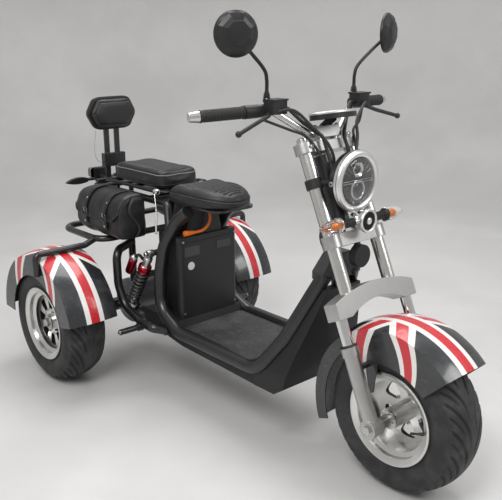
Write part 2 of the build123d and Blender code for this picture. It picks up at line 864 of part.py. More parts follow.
# Shocks: damper, spring seats, coils and eyes from one profile, and the canister beside it
shock_steps = (
    (0.0, 1.0, 8.0),
    (0.05, 0.30, 17.0),
    (0.22, 0.30, coil_r),
    (0.29, 0.88, coil_r - 2 * wire_r + 2),
    (0.86, 0.92, coil_r),
)
with BuildPart() as shocks:
    for sign in (-1, 1):
        top = at(top_x, sign * shock_y, top_z)
        foot = at(foot_x, sign * shock_y, foot_z)
        down = (foot - top).normalized()
        reach = (foot - top).length
        with BuildSketch(Plane(origin=top, x_dir=(0, 1, 0), z_dir=Vector(0, 1, 0).cross(down))) as profile:
            for first, last, radius in shock_steps:
                with Locations((radius / 2, reach * (first + last) / 2)):
                    Rectangle(radius, reach * (last - first))
            for turn in range(coil_turns):
                with Locations((coil_r - wire_r, reach * (0.34 + 0.48 * turn / (coil_turns - 1)))):
                    Circle(wire_r)
        revolve(profiles=profile.sketch, axis=Axis(top, down))
        can_low = top + Vector(-92, sign * 24, -82)
        rod(can_low, can_low - down * can_len, can_r)
        rod(can_low - down * (can_len - 14), top + down * 30, 7)
        for eye in (top, foot):
            rod(eye - Vector(0, shock_eye_w / 2, 0), eye + Vector(0, shock_eye_w / 2, 0), shock_eye_r)
        for eye in (top, foot):
            rod(eye - Vector(0, 40, 0), eye + Vector(0, 40, 0), shock_pin_r + gap, Mode.SUBTRACT)
finish(shocks, "shocks")

# Backrest posts on a bracket over the frame's cross tube
post_low = spine_z + frame_r + gap
back_x = spine_rear - 2
wire_y = 72.0
with BuildPart() as backrest_posts:
    for y in (-post_y, post_y):
        with BuildSketch(Plane.XY.offset(post_low)):
            with Locations((rear_x + back_x, y)):
                Rectangle(post_t, post_w)
        extrude(amount=back_z - post_low)
    with BuildSketch(Plane.XY.offset(post_low)):
        with Locations((rear_x + back_x + 12, 0)):
            Rectangle(24, 2 * (spine_y + 10))
    extrude(amount=12)
    with BuildSketch(Plane.XY.offset(760)):
        with Locations((rear_x + back_x + 8, 0)):
            Rectangle(26, 2 * post_y + 50)
    extrude(amount=54)
    rod(at(back_x + 8, -post_y - 24, 779), at(back_x + 8, -post_y - 30, 779), 3.5)
finish(backrest_posts, "backrest_posts")

back_outline = (
    (-back_half_w, back_z),
    (-back_half_w + back_point, back_z + back_half_h),
    (back_half_w - back_point, back_z + back_half_h),
    (back_half_w, back_z),
    (back_half_w - back_point, back_z - back_half_h),
    (-back_half_w + back_point, back_z - back_half_h),
)
with BuildPart() as backrest_shell:
    with BuildSketch(Plane.YZ.offset(rear_x + back_x - back_shell_t / 2)):
        with BuildLine():
            Polyline(*back_outline, close=True)
        make_face()
    extrude(amount=back_shell_t, taper=-4)
    with BuildSketch(Plane.XY.offset(back_z - back_half_h - 10)):
        with Locations((rear_x + back_x, -post_y), (rear_x + back_x, post_y)):
            Rectangle(post_t + 2 * gap, post_w + 2 * gap)
    extrude(amount=back_half_h + 10 + gap, mode=Mode.SUBTRACT)
    wire_root_z = back_z - back_half_h
    rod(at(back_x, -wire_y, wire_root_z + 2), at(back_x, -wire_y, wire_root_z - 5), 3.5)
finish(backrest_shell, "backrest_shell")

with BuildPart() as backrest_pad:
    with BuildSketch(Plane.YZ.offset(rear_x + back_x + back_shell_t / 2 + gap)):
        with BuildLine():
            Polyline(*back_outline, close=True)
        make_face()
    extrude(amount=back_pad_t)
finish(backrest_pad, "backrest_pad")

# Saddlebags between the seat rail and the loop, resting on the loop
bag_low_z = loop_z + loop_r + gap
for side, sign in (("right", -1), ("left", 1)):
    with BuildPart() as bag:
        with BuildSketch(Plane.YZ.offset(rear_x + bag_rear)):
            with BuildLine():
                Polyline(
                    (sign * bag_in_y, bag_low_z),
                    (sign * bag_in_y, bag_top_z),
                    (sign * (bag_out_y - 40), bag_top_z - 6),
                    (sign * bag_out_y, bag_top_z - 50),
                    (sign * bag_out_y, bag_low_z + 30),
                    (sign * (bag_out_y - 24), bag_low_z),
                    close=True,
                )
            make_face()
        extrude(amount=bag_front - bag_rear)
    finish(bag, "saddlebag_" + side)

# Rear lamps on a bracket behind the spines
lamp_arm_z = spine_z + 6
with BuildPart() as lamp_bracket:
    rod(at(spine_rear - gap, -spine_y - 12, spine_z), at(spine_rear - gap, spine_y + 12, spine_z), 10)
    rod(at(spine_rear - gap, 0, spine_z), at(rear_lamp_x, 0, lamp_arm_z + 8), 9)
    rod(at(rear_lamp_x, -66, lamp_arm_z), at(rear_lamp_x, 66, lamp_arm_z), 7)
    with BuildSketch(Plane.XY.offset(lamp_arm_z)):
        with Locations((rear_x + rear_lamp_x, 0)):
            Rectangle(14, 60)
    extrude(amount=44)
    with BuildSketch(Plane.YZ.offset(rear_x + spine_rear - gap)):
        with Locations((0, spine_z)):
            Rectangle(400, 100)
    extrude(amount=100, mode=Mode.SUBTRACT)
finish(lamp_bracket, "lamp_bracket")

with BuildPart() as tail_lamp:
    with BuildSketch(Plane.YZ.offset(rear_x + rear_lamp_x - 7 - gap)):
        with Locations((0, lamp_arm_z + 24)):
            RectangleRounded(84, 42, 12)
    extrude(amount=-22)
finish(tail_lamp, "tail_lamp")

with BuildPart() as rear_signals:
    for sign in (-1, 1):
        leaf_root = at(rear_lamp_x + 9, sign * (66 + gap), lamp_arm_z)
        with BuildSketch(Plane(origin=leaf_root, x_dir=(0, sign, 0), z_dir=(-1, 0, 0))):
            with BuildLine():
                Line((0, -8), (0, 8))
                ThreePointArc((0, 8), (50, 13), (100, -4))
                ThreePointArc((100, -4), (50, -13), (0, -8))
            make_face()
        extrude(amount=18)
finish(rear_signals, "rear_signals")

# Handlebar: one bent tube with weighted ends
bar_side = (
    (bar_x, 62, bar_z),
    (-387, 172, 848),
    (-449, 380, 840),
)
bar_route = [by_wheel(x, -y, z) for x, y, z in reversed(bar_side)] + [by_wheel(*point) for point in bar_side]
hand_in = by_wheel(*bar_side[1])
hand_out = by_wheel(*bar_side[2])
hand_way = (hand_out - hand_in).normalized()


def on_bar(sign, distance):
    """A point on the grip's straight, from the bend outwards, on either side."""
    point = hand_in + hand_way * distance
    return Vector(point.X, sign * point.Y, point.Z)


def cut_bar():
    """Cuts the handlebar's seat out of the part being built."""
    tube(bar_route, (40, 40, 40, 40), bar_r + gap, Mode.SUBTRACT)


hand_len = (hand_out - hand_in).length
with BuildPart() as handlebar:
    tube(bar_route, (40, 40, 40, 40), bar_r)
    for sign in (-1, 1):
        cap_foot = on_bar(sign, hand_len)
        cap_way = Vector(hand_way.X, sign * hand_way.Y, hand_way.Z)
        with BuildSketch(Plane(origin=cap_foot, z_dir=cap_way)) as cap:
            Circle(grip_r)
        extrude(cap.sketch, amount=bar_end_len, taper=7)
finish(handlebar, "handlebar")

with BuildPart() as grips:
    for sign in (-1, 1):
        rod(on_bar(sign, 84), on_bar(sign, hand_len - gap), grip_r)
        rod(on_bar(sign, 83), on_bar(sign, hand_len + 1), bar_r + gap, Mode.SUBTRACT)
finish(grips, "grips")

# Bar clamp on the upper triple clamp
clamp_top_s = upper_clamp_s + upper_clamp_t
bar_s = Vector(bar_x, 0, bar_z).dot(fork_up)
bar_ahead = Vector(bar_x, 0, bar_z).dot(fork_ahead)
with BuildPart() as bar_clamp:
    for y in (-34, 34):
        fork_bar(bar_ahead, y, clamp_top_s + gap, bar_s, 13)
    with BuildSketch(fork_plane(bar_ahead, 0, bar_s - 17)):
        Rectangle(38, 2 * clamp_half_w)
    extrude(amount=34)
    rod(by_wheel(bar_x, -60, bar_z), by_wheel(bar_x, 60, bar_z), bar_r + gap, Mode.SUBTRACT)
finish(bar_clamp, "bar_clamp")

# Controls: switch housing, lever clamp with its mirror boss, reservoir and lever on each side
mirror_foot = on_bar(1, 12)
mirror_boss_z = mirror_foot.Z + housing_r + 5
tank_x = mirror_foot.X + 30
tank_y = mirror_foot.Y - 7
tank_len = 54.0
with BuildPart() as controls:
    for sign in (-1, 1):
        rod(on_bar(sign, 40), on_bar(sign, 82), housing_r)
        rod(on_bar(sign, 4), on_bar(sign, 41), housing_r - 1)
        tube(
            (
                on_bar(sign, 24) + Vector(8, 0, 0),
                on_bar(sign, 30) + Vector(38, 0, -8),
                on_bar(sign, 80) + Vector(56, 0, -22),
                by_wheel(-335, sign * 336, 799),
            ),
            (16, 30),
            lever_r,
        )
        with Locations(by_wheel(-335, sign * 336, 799)):
            Sphere(lever_ball_r)
        with BuildSketch(Plane.XY.offset(mirror_foot.Z - 8)):
            with Locations((tank_x, sign * tank_y)):
                RectangleRounded(42, tank_len, 6)
        extrude(amount=38)
        boss_foot = Vector(mirror_foot.X, sign * mirror_foot.Y, mirror_foot.Z)
        rod(boss_foot, (boss_foot.X, boss_foot.Y, mirror_boss_z), 9)
    cut_bar()
finish(controls, "controls")

# Mirrors on bent stalks, turned a little outwards
mirror_x, mirror_y, mirror_z = mirror_at
with BuildPart() as mirrors:
    for sign in (-1, 1):
        foot_y = sign * mirror_foot.Y
        tube(
            (
                (mirror_foot.X, foot_y, mirror_boss_z + gap),
                (mirror_foot.X, foot_y, tyre_r + mirror_z - 117),
                by_wheel(mirror_x - 2, sign * (mirror_y - 7), mirror_z - 11),
            ),
            18,
            stalk_r,
        )
        rod((mirror_foot.X, foot_y, mirror_boss_z + gap), (mirror_foot.X, foot_y, mirror_boss_z + 22), 9)
        face = Vector(cos(radians(mirror_turn)), sign * sin(radians(mirror_turn)), 0)
        with BuildSketch(Plane(origin=by_wheel(mirror_x, sign * mirror_y, mirror_z), z_dir=face)) as disc:
            Circle(mirror_r)
        extrude(disc.sketch, amount=mirror_t, taper=32)
        extrude(disc.sketch, amount=-8)
finish(mirrors, "mirrors")

# Oval display ahead of the bar, on a stay to the bar clamp
display_up = Vector(-sin(radians(display_tilt)), 0, cos(radians(display_tilt)))
display_at = by_wheel(-305, 0, 818)
with BuildPart() as display:
    with BuildSketch(Plane(origin=display_at, x_dir=(0, 1, 0), z_dir=display_up)):
        Ellipse(82, 54)
    extrude(amount=20)
    rod(display_at + display_up * 3, on_fork(bar_ahead, 0, bar_s + 17 + gap), 12)
    with BuildSketch(fork_plane(bar_ahead, 0, bar_s + 17 + gap)):
        Rectangle(60, 60)
    extrude(amount=-20, mode=Mode.SUBTRACT)
finish(display, "display")

# Headlight bucket on two arms that clamp the fork tubes, with a socket for each cable loom
loom_ahead = 36.0
loom_y = 44.0
loom_end_s = 752.0
lamp_rear_x = lamp_x - lamp_ring_t
lamp_s = Vector(lamp_rear_x - 50, 0, lamp_z).dot(fork_up)


def dome_arc(edge_x, top_x, half_w):
    """Adds the arc of a dome round the lamp's axis, from its edge to its top, to the line being built."""
    rise = top_x - edge_x
    radius = (half_w**2 + rise**2) / (2 * rise)
    half_turn = asin(half_w / abs(radius)) / 2
    middle_x = top_x - radius * (1 - cos(half_turn))
    ThreePointArc(*wheel_view((
        (edge_x, lamp_z + half_w),
        (middle_x, lamp_z + abs(radius) * sin(half_turn)),
        (top_x, lamp_z),
    )))


with BuildPart() as headlight:
    with BuildSketch(Plane.XZ):
        with BuildLine():
            Polyline(
                *wheel_view((
                    (lamp_rear_x, lamp_z),
                    (lamp_rear_x, lamp_z + lamp_r - 5),
                    (lamp_rear_x - 22, lamp_z + lamp_r - 8),
                )),
            )
            dome_arc(lamp_rear_x - 22, lamp_rear_x - lamp_depth, lamp_r - 8)
            Line(*wheel_view(((lamp_rear_x - lamp_depth, lamp_z), (lamp_rear_x, lamp_z))))
        make_face()
    revolve(axis=Axis((0, 0, tyre_r + lamp_z), (1, 0, 0)))
    for sign in (-1, 1):
        fork_bar(0, sign * upper_tube_y, lamp_s - 14, lamp_s + 14, upper_tube_r + 6)
        arm_end = by_wheel(lamp_rear_x - 26, sign * (lamp_r - 32), lamp_z)
        rod(on_fork(14, sign * upper_tube_y, lamp_s), arm_end, 9)
        fork_bar(loom_ahead, sign * loom_y, loom_end_s - 30, loom_end_s - gap, 9)
    for sign in (-1, 1):
        fork_bar(0, sign * upper_tube_y, lamp_s - 20, lamp_s + 20, upper_tube_r + gap, Mode.SUBTRACT)
finish(headlight, "headlight")

with BuildPart() as headlight_lens:
    with BuildSketch(Plane.XZ):
        with BuildLine():
            Polyline(
                *wheel_view((
                    (lamp_rear_x + gap, lamp_z),
                    (lamp_rear_x + gap, lamp_z + lamp_r),
                    (lamp_x - 5, lamp_z + lamp_r),
                    (lamp_x, lamp_z + lamp_r - 5),
                    (lamp_x, lamp_z + lamp_r - 14),
                    (lamp_x - 6, lamp_z + lamp_r - 17),
                )),
            )
            dome_arc(lamp_x - 6, lamp_x + 6, lamp_r - 17)
            Line(*wheel_view(((lamp_x + 6, lamp_z), (lamp_rear_x + gap, lamp_z))))
        make_face()
    revolve(axis=Axis((0, 0, tyre_r + lamp_z), (1, 0, 0)))
finish(headlight_lens, "headlight_lens")

# Horn and signal stalks on a bracket from the lower clamp
lower_clamp_top = lower_clamp_s + lower_clamp_t
signal_x = horn_x - 20
signal_root_y = horn_r + 64
with BuildPart() as horn:
    rod(by_wheel(horn_x - 26, 0, horn_z), by_wheel(horn_x, 0, horn_z), horn_r)
    rod(by_wheel(horn_x - 60, 0, horn_z), by_wheel(horn_x - 25, 0, horn_z), 14)
    rod(by_wheel(signal_x, -signal_root_y, horn_z), by_wheel(signal_x, signal_root_y, horn_z), 9)
    with BuildSketch(fork_plane(12, 0, lower_clamp_top + gap)):
        Rectangle(24, 50)
    extrude(amount=26)
    rod(on_fork(12, 0, lower_clamp_top + 14), by_wheel(horn_x - 50, 0, horn_z - 2), 11)
finish(horn, "horn")

with BuildPart() as front_signals:
    for sign in (-1, 1):
        stalk_end = by_wheel(signal_x, sign * (signal_root_y + gap), horn_z)
        with BuildSketch(Plane(origin=stalk_end, z_dir=(0, sign, 0))) as lens_in:
            Ellipse(20, 22)
        with BuildSketch(Plane(origin=stalk_end + Vector(0, sign * 46, 0), z_dir=(0, sign, 0))) as lens_mid:
            Ellipse(18, 19)
        with BuildSketch(Plane(origin=stalk_end + Vector(0, sign * 84, 0), z_dir=(0, sign, 0))) as lens_out:
            Ellipse(6, 6)
        loft(sections=[lens_in.sketch, lens_mid.sketch, lens_out.sketch])
finish(front_signals, "front_signals")

# Round sounder that hangs under the lower clamp and faces forward
sounder_x = -201.0
sounder_z = 430.0
with BuildPart() as sounder:
    rod(by_wheel(sounder_x, 0, sounder_z), by_wheel(sounder_x + sounder_t, 0, sounder_z), sounder_r)
    fork_bar(6, 0, lower_clamp_s - 24, lower_clamp_s - gap, 10)
finish(sounder, "sounder")

# Brake caliper behind the left leg's foot, straddling the disc on a plate with the axle's hole
caliper_behind = 76.0
caliper_in_y = brake_disc_y - 11
plate_in_y = brake_disc_y + brake_disc_t + 6
with BuildPart() as brake_caliper:
    with BuildSketch(Plane(origin=(front_x, caliper_in_y, tyre_r), z_dir=(0, 1, 0))):
        with Locations((-caliper_behind, 0)):
            RectangleRounded(44, 70, 10)
    extrude(amount=leg_in_y - 5 - caliper_in_y)
    with BuildSketch(Plane(origin=(front_x, plate_in_y, tyre_r), z_dir=(0, 1, 0))):
        Circle(leg_foot_r)
        with Locations((-caliper_behind / 2, 0)):
            Rectangle(caliper_behind, 30)
    extrude(amount=leg_in_y - gap - plate_in_y)
    slot_low = (front_x, brake_disc_y - 1.5, tyre_r)
    slot_high = (front_x, brake_disc_y + brake_disc_t + 1.5, tyre_r)
    rod(slot_low, slot_high, brake_disc_r + 3, Mode.SUBTRACT)
    rod((front_x, plate_in_y - 1, tyre_r), (front_x, leg_in_y, tyre_r), axle_r + 7 + gap, Mode.SUBTRACT)
finish(brake_caliper, "brake_caliper")

# Cable looms from both brake reservoirs, round the front of the bar clamp, to their sockets on the headlight
loom_r = 5.5
with BuildPart() as cable_looms:
    for sign in (-1, 1):
        tube(
            (
                (tank_x, sign * (tank_y - tank_len / 2 - gap), mirror_foot.Z + 6),
                (tank_x, sign * (tank_y - tank_len / 2 - 17), mirror_foot.Z + 6),
                by_wheel(bar_x + 2, sign * 92, bar_z + 36),
                on_fork(loom_ahead, sign * loom_y, 826),
                on_fork(loom_ahead, sign * loom_y, loom_end_s),
            ),
            (20, 40, 24),
            loom_r,
        )
finish(cable_looms, "cable_looms")

# Battery lead from the gland under the seat pan to its plug, which lies on the battery's lid
lead_r = 5.5
plug_r = 11.0
lead_z = battery_top + plug_r + gap
lead_route = (
    at(gland_x, gland_y, gland_low - gap),
    at(gland_x, gland_y, 671),
    at(440, 12, 648),
    at(443, 4, 626),
    at(443, -12, 610),
    at(441, -34, lead_z),
    at(438, -58, lead_z),
)

# Thin wire from the backrest's shell down to the plate between its posts
back_wire_r = 1.1
wire_route = (
    at(back_x, -wire_y, wire_root_z - 5 - gap),
    at(back_x - 1, -wire_y - 7, 866),
    at(back_x + 1, -wire_y - 12, 828),
    at(back_x + 5, -wire_y - 8, 794),
    at(back_x + 8, -post_y - 43, 780),
    at(back_x + 8, -post_y - 30 - gap, 779),
)


def cord_bends(route):
    """Each corner's radius: 0.45 of its shorter run, divided by the tangent of half the turn."""
    radii = []
    for before, corner, after in zip(route, route[1:], route[2:]):
        turn = (corner - before).get_angle(after - corner)
        shorter = min((corner - before).length, (after - corner).length)
        radii.append(0.45 * shorter / tan(radians(turn / 2)))
    return radii


lead_bends = cord_bends(lead_route)
wire_bends = cord_bends(wire_route)
print("battery lead radii", [round(bend) for bend in lead_bends])
print("back wire radii", [round(bend) for bend in wire_bends])
with BuildPart() as battery_lead:
    tube(lead_route, lead_bends, lead_r)
finish(battery_lead, "battery_lead")

lead_way = (lead_route[-1] - lead_route[-2]).normalized()
with BuildPart() as lead_plug:
    rod(lead_route[-1] + lead_way * gap, lead_route[-1] + lead_way * 30, plug_r - 2)
    rod(lead_route[-1] + lead_way * 29, lead_route[-1] + lead_way * 44, plug_r)
finish(lead_plug, "lead_plug")

with BuildPart() as back_wire:
    tube(wire_route, wire_bends, back_wire_r)
finish(back_wire, "back_wire")
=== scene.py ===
import bmesh
import bpy
from math import asin, cos, pi, radians, sin, sqrt
from mathutils import Matrix, Vector


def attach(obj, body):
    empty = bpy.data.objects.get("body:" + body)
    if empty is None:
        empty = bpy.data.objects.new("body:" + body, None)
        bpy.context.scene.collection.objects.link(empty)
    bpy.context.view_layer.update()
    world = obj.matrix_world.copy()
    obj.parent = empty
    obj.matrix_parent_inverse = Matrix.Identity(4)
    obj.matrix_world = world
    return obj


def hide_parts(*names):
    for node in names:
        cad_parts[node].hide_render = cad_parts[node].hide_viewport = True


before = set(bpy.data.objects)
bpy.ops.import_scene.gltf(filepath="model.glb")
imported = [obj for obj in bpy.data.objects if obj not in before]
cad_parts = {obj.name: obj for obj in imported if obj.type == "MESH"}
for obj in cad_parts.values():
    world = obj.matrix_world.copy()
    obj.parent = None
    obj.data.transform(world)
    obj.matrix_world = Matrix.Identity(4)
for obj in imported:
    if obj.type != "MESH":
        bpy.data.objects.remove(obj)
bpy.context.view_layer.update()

# Sizes in metres that the part's source sets too
REAR_X = -0.62285
FRONT_X = REAR_X + 1.345
WHEEL_Z = 0.230
TRACK_Y = 0.387
TYRE_R = 0.230
TREAD_HALF_W = 0.071
TREAD_DROP = 0.020
BEAD_R = 0.126
BEAD_HALF_W = 0.068
FLANGE_R = 0.140
FENDER_R = 0.284
FENDER_EDGE_R = 0.268
RAKE = radians(24)


def at(x, y, z):
    """A point in metres from millimetres measured from the ground under the rear axle."""
    return Vector((REAR_X + x / 1000, y / 1000, z / 1000))


FORK_UP = Vector((-sin(RAKE), 0, cos(RAKE)))
FORK_AHEAD = Vector((cos(RAKE), 0, sin(RAKE)))


def on_fork(ahead, y, along):
    """A point by its distance ahead of the fork's plane, sideways, and up along the fork."""
    return Vector((FRONT_X, y, WHEEL_Z)) + FORK_AHEAD * ahead + FORK_UP * along


# Shader nodes


class Value:
    """A socket of one material, so that sums on it can be written as formulas."""

    def __init__(self, finish, socket):
        self.finish = finish
        self.socket = socket

    def __add__(self, other):
        return self.finish.maths("ADD", self, other)

    def __radd__(self, other):
        return self.finish.maths("ADD", other, self)

    def __sub__(self, other):
        return self.finish.maths("SUBTRACT", self, other)

    def __rsub__(self, other):
        return self.finish.maths("SUBTRACT", other, self)

    def __mul__(self, other):
        return self.finish.maths("MULTIPLY", self, other)

    def __rmul__(self, other):
        return self.finish.maths("MULTIPLY", other, self)

    def __truediv__(self, other):
        return self.finish.maths("DIVIDE", self, other)

    def __pow__(self, other):
        return self.finish.maths("POWER", self, other)

    def __abs__(self):
        return self.finish.maths("ABSOLUTE", self)


class Finish:
    """One material and its nodes."""

    def __init__(self, name):
        self.material = bpy.data.materials.new(name)
        self.material.use_nodes = True
        self.tree = self.material.node_tree
        self.tree.nodes.clear()
        self.shader = self.tree.nodes.new("ShaderNodeBsdfPrincipled")
        out = self.tree.nodes.new("ShaderNodeOutputMaterial")
        self.tree.links.new(self.shader.outputs["BSDF"], out.inputs["Surface"])

    def put(self, socket, value):
        """Links or sets one input."""
        if isinstance(value, Value):
            self.tree.links.new(value.socket, socket)
        else:
            socket.default_value = value

    def node(self, kind, settings=None, values=None, output=0):
        """Adds a node: its settings first, then its sockets, and returns one output."""
        made = self.tree.nodes.new("ShaderNode" + kind)
        for name, value in (settings or {}).items():
            if name == "stops":
                ramp = made.color_ramp
                while len(ramp.elements) < len(value):
                    ramp.elements.new(0.5)
                for element, (place, colour) in zip(ramp.elements, value):
                    element.position = place
                    element.color = colour
            else:
                setattr(made, name, value)
        for name, value in (values or {}).items():
            self.put(made.inputs[name], value)
        return Value(self, made.outputs[output])

    def maths(self, operation, *values):
        return self.node("Math", {"operation": operation}, dict(enumerate(values)))

    def set(self, **values):
        """Sets the shader's own sockets, named with underscores for spaces."""
        for name, value in values.items():
            self.put(self.shader.inputs[name.replace("_", " ")], value)

    def place(self):
        return self.node("TexCoord", output=3)

    def axes(self, vector=None):
        """The three parts of a vector, of the place on the object where none is given."""
        split = self.node("SeparateXYZ", values={0: vector or self.place()})
        outs = split.socket.node.outputs
        return Value(self, outs[0]), Value(self, outs[1]), Value(self, outs[2])

    def noise(self, scale, detail=4.0, rough=0.55, vector=None, output=0):
        return self.node(
            "TexNoise", None,
            {"Vector": vector or self.place(), "Scale": scale, "Detail": detail, "Roughness": rough}, output)

    def step(self, value, low, high, first=0.0, last=1.0):
        """A smooth step from first to last as a value goes from low to high."""
        return self.node(
            "MapRange", {"interpolation_type": "SMOOTHSTEP"},
            {"Value": value, "From Min": low, "From Max": high, "To Min": first, "To Max": last})

    def blend(self, factor, first, second):
        """A mix of two colours."""
        mix = self.node("Mix", {"data_type": "RGBA"}, {0: factor, 6: first, 7: second}, output=2)
        return mix

    def rounded(self, radius):
        """The surface's direction with its sharp edges rounded off."""
        return self.node("Bevel", {"samples": 4}, {"Radius": radius})

    def bump(self, height, distance, strength=1.0, normal=None):
        values = {"Height": height, "Distance": distance, "Strength": strength}
        if normal:
            values["Normal"] = normal
        return self.node("Bump", None, values)

    def edges(self, radius, low=0.02, high=0.2):
        """A mask that is 1 along sharp edges."""
        facing = self.node("VectorMath", {"operation": "DOT_PRODUCT"}, {
            0: self.rounded(radius), 1: self.node("NewGeometry", output=1)}, output=1)
        return self.step(1 - facing, low, high)


def grey(level, alpha=1.0):
    return (level, level, level, alpha)


def enamel(name, colour, rough=0.32, dust=0.25, coat=0.3):
    """Sprayed or powder-coated paint with a little dust, wear on its edges and fine ripple."""
    paint = Finish(name)
    cloud = paint.noise(9.0, 5.0)
    specks = paint.step(paint.noise(420.0, 2.0), 0.63, 0.72)
    film = paint.step(cloud, 0.35, 0.75) * dust
    worn = paint.edges(0.0015) * paint.step(paint.noise(55.0), 0.45, 0.62) * 0.35
    dusty = paint.blend(film * 0.06 + specks * 0.03, colour, (0.30, 0.29, 0.27, 1))
    paint.set(
        Base_Color=paint.blend(worn, dusty, grey(0.22)),
        Roughness=rough + film * 0.5 + specks * 0.08,
        Coat_Weight=coat,
        Coat_Roughness=0.12,
        Normal=paint.bump(paint.noise(900.0, 2.0), 0.00006, 0.35, paint.rounded(0.0012)))
    return paint.material


def metal(name, colour, rough=0.3, streak=(1, 1, 1), soil=0.2, edge=0.001):
    """Bare or polished metal with fine directional brushing and faint stains."""
    bare = Finish(name)
    stretched = bare.node("Mapping", None, {"Vector": bare.place(), "Scale": streak})
    brushing = bare.noise(260.0, 3.0, vector=stretched)
    stain = bare.step(bare.noise(14.0, 6.0), 0.42, 0.75) * soil
    shade = tuple(0.45 * channel for channel in colour[:3]) + (1,)
    bare.set(
        Base_Color=bare.blend(stain, colour, shade),
        Metallic=1.0,
        Roughness=rough + (brushing - 0.5) * 0.07 + stain * 0.25,
        Normal=bare.bump(brushing, 0.00002, 0.15, bare.rounded(edge)))
    return bare.material


def plastic(name, colour, rough=0.45, grain=0.00012, scale=700.0, edge=0.001):
    """Moulded plastic with a fine spark-eroded grain."""
    moulded = Finish(name)
    cells = moulded.node("TexVoronoi", None, {"Vector": moulded.place(), "Scale": scale})
    cloud = moulded.step(moulded.noise(11.0, 5.0), 0.4, 0.8)
    moulded.set(
        Base_Color=moulded.blend(cloud * 0.04, colour, grey(0.16)),
        Specular_IOR_Level=0.38,
        Roughness=rough + cloud * 0.12,
        Normal=moulded.bump(cells, grain, 0.5, moulded.rounded(edge)))
    return moulded.material


def rubber(name, colour, rough=0.75, dust=0.2):
    """Vulcanised rubber with patches of dust."""
    gum = Finish(name)
    cloud = gum.step(gum.noise(18.0, 6.0), 0.38, 0.75) * dust
    gum.set(
        Base_Color=gum.blend(cloud, colour, (0.16, 0.15, 0.14, 1)),
        Roughness=rough - cloud * 0.1,
        Normal=gum.bump(gum.noise(380.0, 4.0), 0.00025, 0.5))
    return gum.material


def machined_rim(name, centre_x, centre_y, outward):
    """A cast wheel: turned bright on its face and lip; the rear wheels are painted black behind and in their windows,
    the front wheel is near-black beyond its disc as painted shade for its dark windows.
    """
    wheel = Finish(name)
    x, y, z = wheel.axes()
    along = x - centre_x
    up = z - WHEEL_Z
    radial = (along * along + up * up) ** 0.5
    facing_x, facing_y, facing_z = wheel.axes(wheel.node("NewGeometry", output=1))
    outer = (y - centre_y) * outward
    lip = wheel.step(radial, 0.1080, 0.1100)
    front = wheel.step(outer, 0.0350 if centre_y else -0.0250, 0.0362 if centre_y else -0.0235)
    face = wheel.step(facing_y * outward, 0.3, 0.5)
    hub = wheel.step(radial, 0.0330, 0.0345, 1.0, 0.0)
    # Front wheel: near-black beyond the disc, a painted shade for the barrel seen through the windows; rear wheels:
    # black paint behind the turned face.
    bright = front
    if centre_y:
        bright = wheel.maths("MINIMUM", wheel.maths("MAXIMUM", wheel.maths("MAXIMUM", face, lip), hub), front)
    turning = wheel.maths("SINE", radial * 9000.0)
    stain = wheel.step(wheel.noise(16.0, 6.0), 0.45, 0.75) * 0.25
    silver = wheel.blend(stain, (0.74, 0.735, 0.72, 1), (0.42, 0.41, 0.40, 1))
    wheel.set(
        Base_Color=wheel.blend(bright, grey(0.010), silver),
        Metallic=bright,
        Roughness=0.34 - bright * 0.06 + stain * 0.3,
        Normal=wheel.bump(turning, 0.00003, 0.25, wheel.rounded(0.0012)))
    return wheel.material


def leathercloth(name, colour, rough=0.42, scale=260.0, crease=0.0006):
    """Vinyl leathercloth with its pebbled grain, soft creases and a greasy sheen."""
    hide = Finish(name)
    pebble = hide.node("TexVoronoi", {"feature": "SMOOTH_F1"}, {"Vector": hide.place(), "Scale": scale})
    folds = hide.noise(16.0, 5.0, 0.6)
    wear = hide.step(hide.noise(7.0, 4.0), 0.45, 0.75)
    hide.set(
        Base_Color=hide.blend(wear * 0.12, colour, grey(0.07)),
        Specular_IOR_Level=0.42,
        Roughness=rough + wear * 0.14 + pebble * 0.10,
        Coat_Weight=0.08,
        Coat_Roughness=0.35,
        Normal=hide.bump(pebble, 0.0003, 0.45, hide.bump(folds, crease * 4, 0.35)))
    return hide.material


def clear_lens(name, colour, rough=0.01):
    """Clear or tinted lens plastic that light goes through."""
    lens = Finish(name)
    smear = lens.step(lens.noise(30.0, 4.0), 0.45, 0.8) * 0.03
    lens.set(
        Base_Color=colour,
        Roughness=rough + smear,
        Transmission_Weight=1.0,
        IOR=1.45)
    return lens.material


RED = (0.53, 0.012, 0.022, 1)
WHITE = (0.78, 0.76, 0.73, 1)
CHARCOAL = (0.020, 0.022, 0.025, 1)


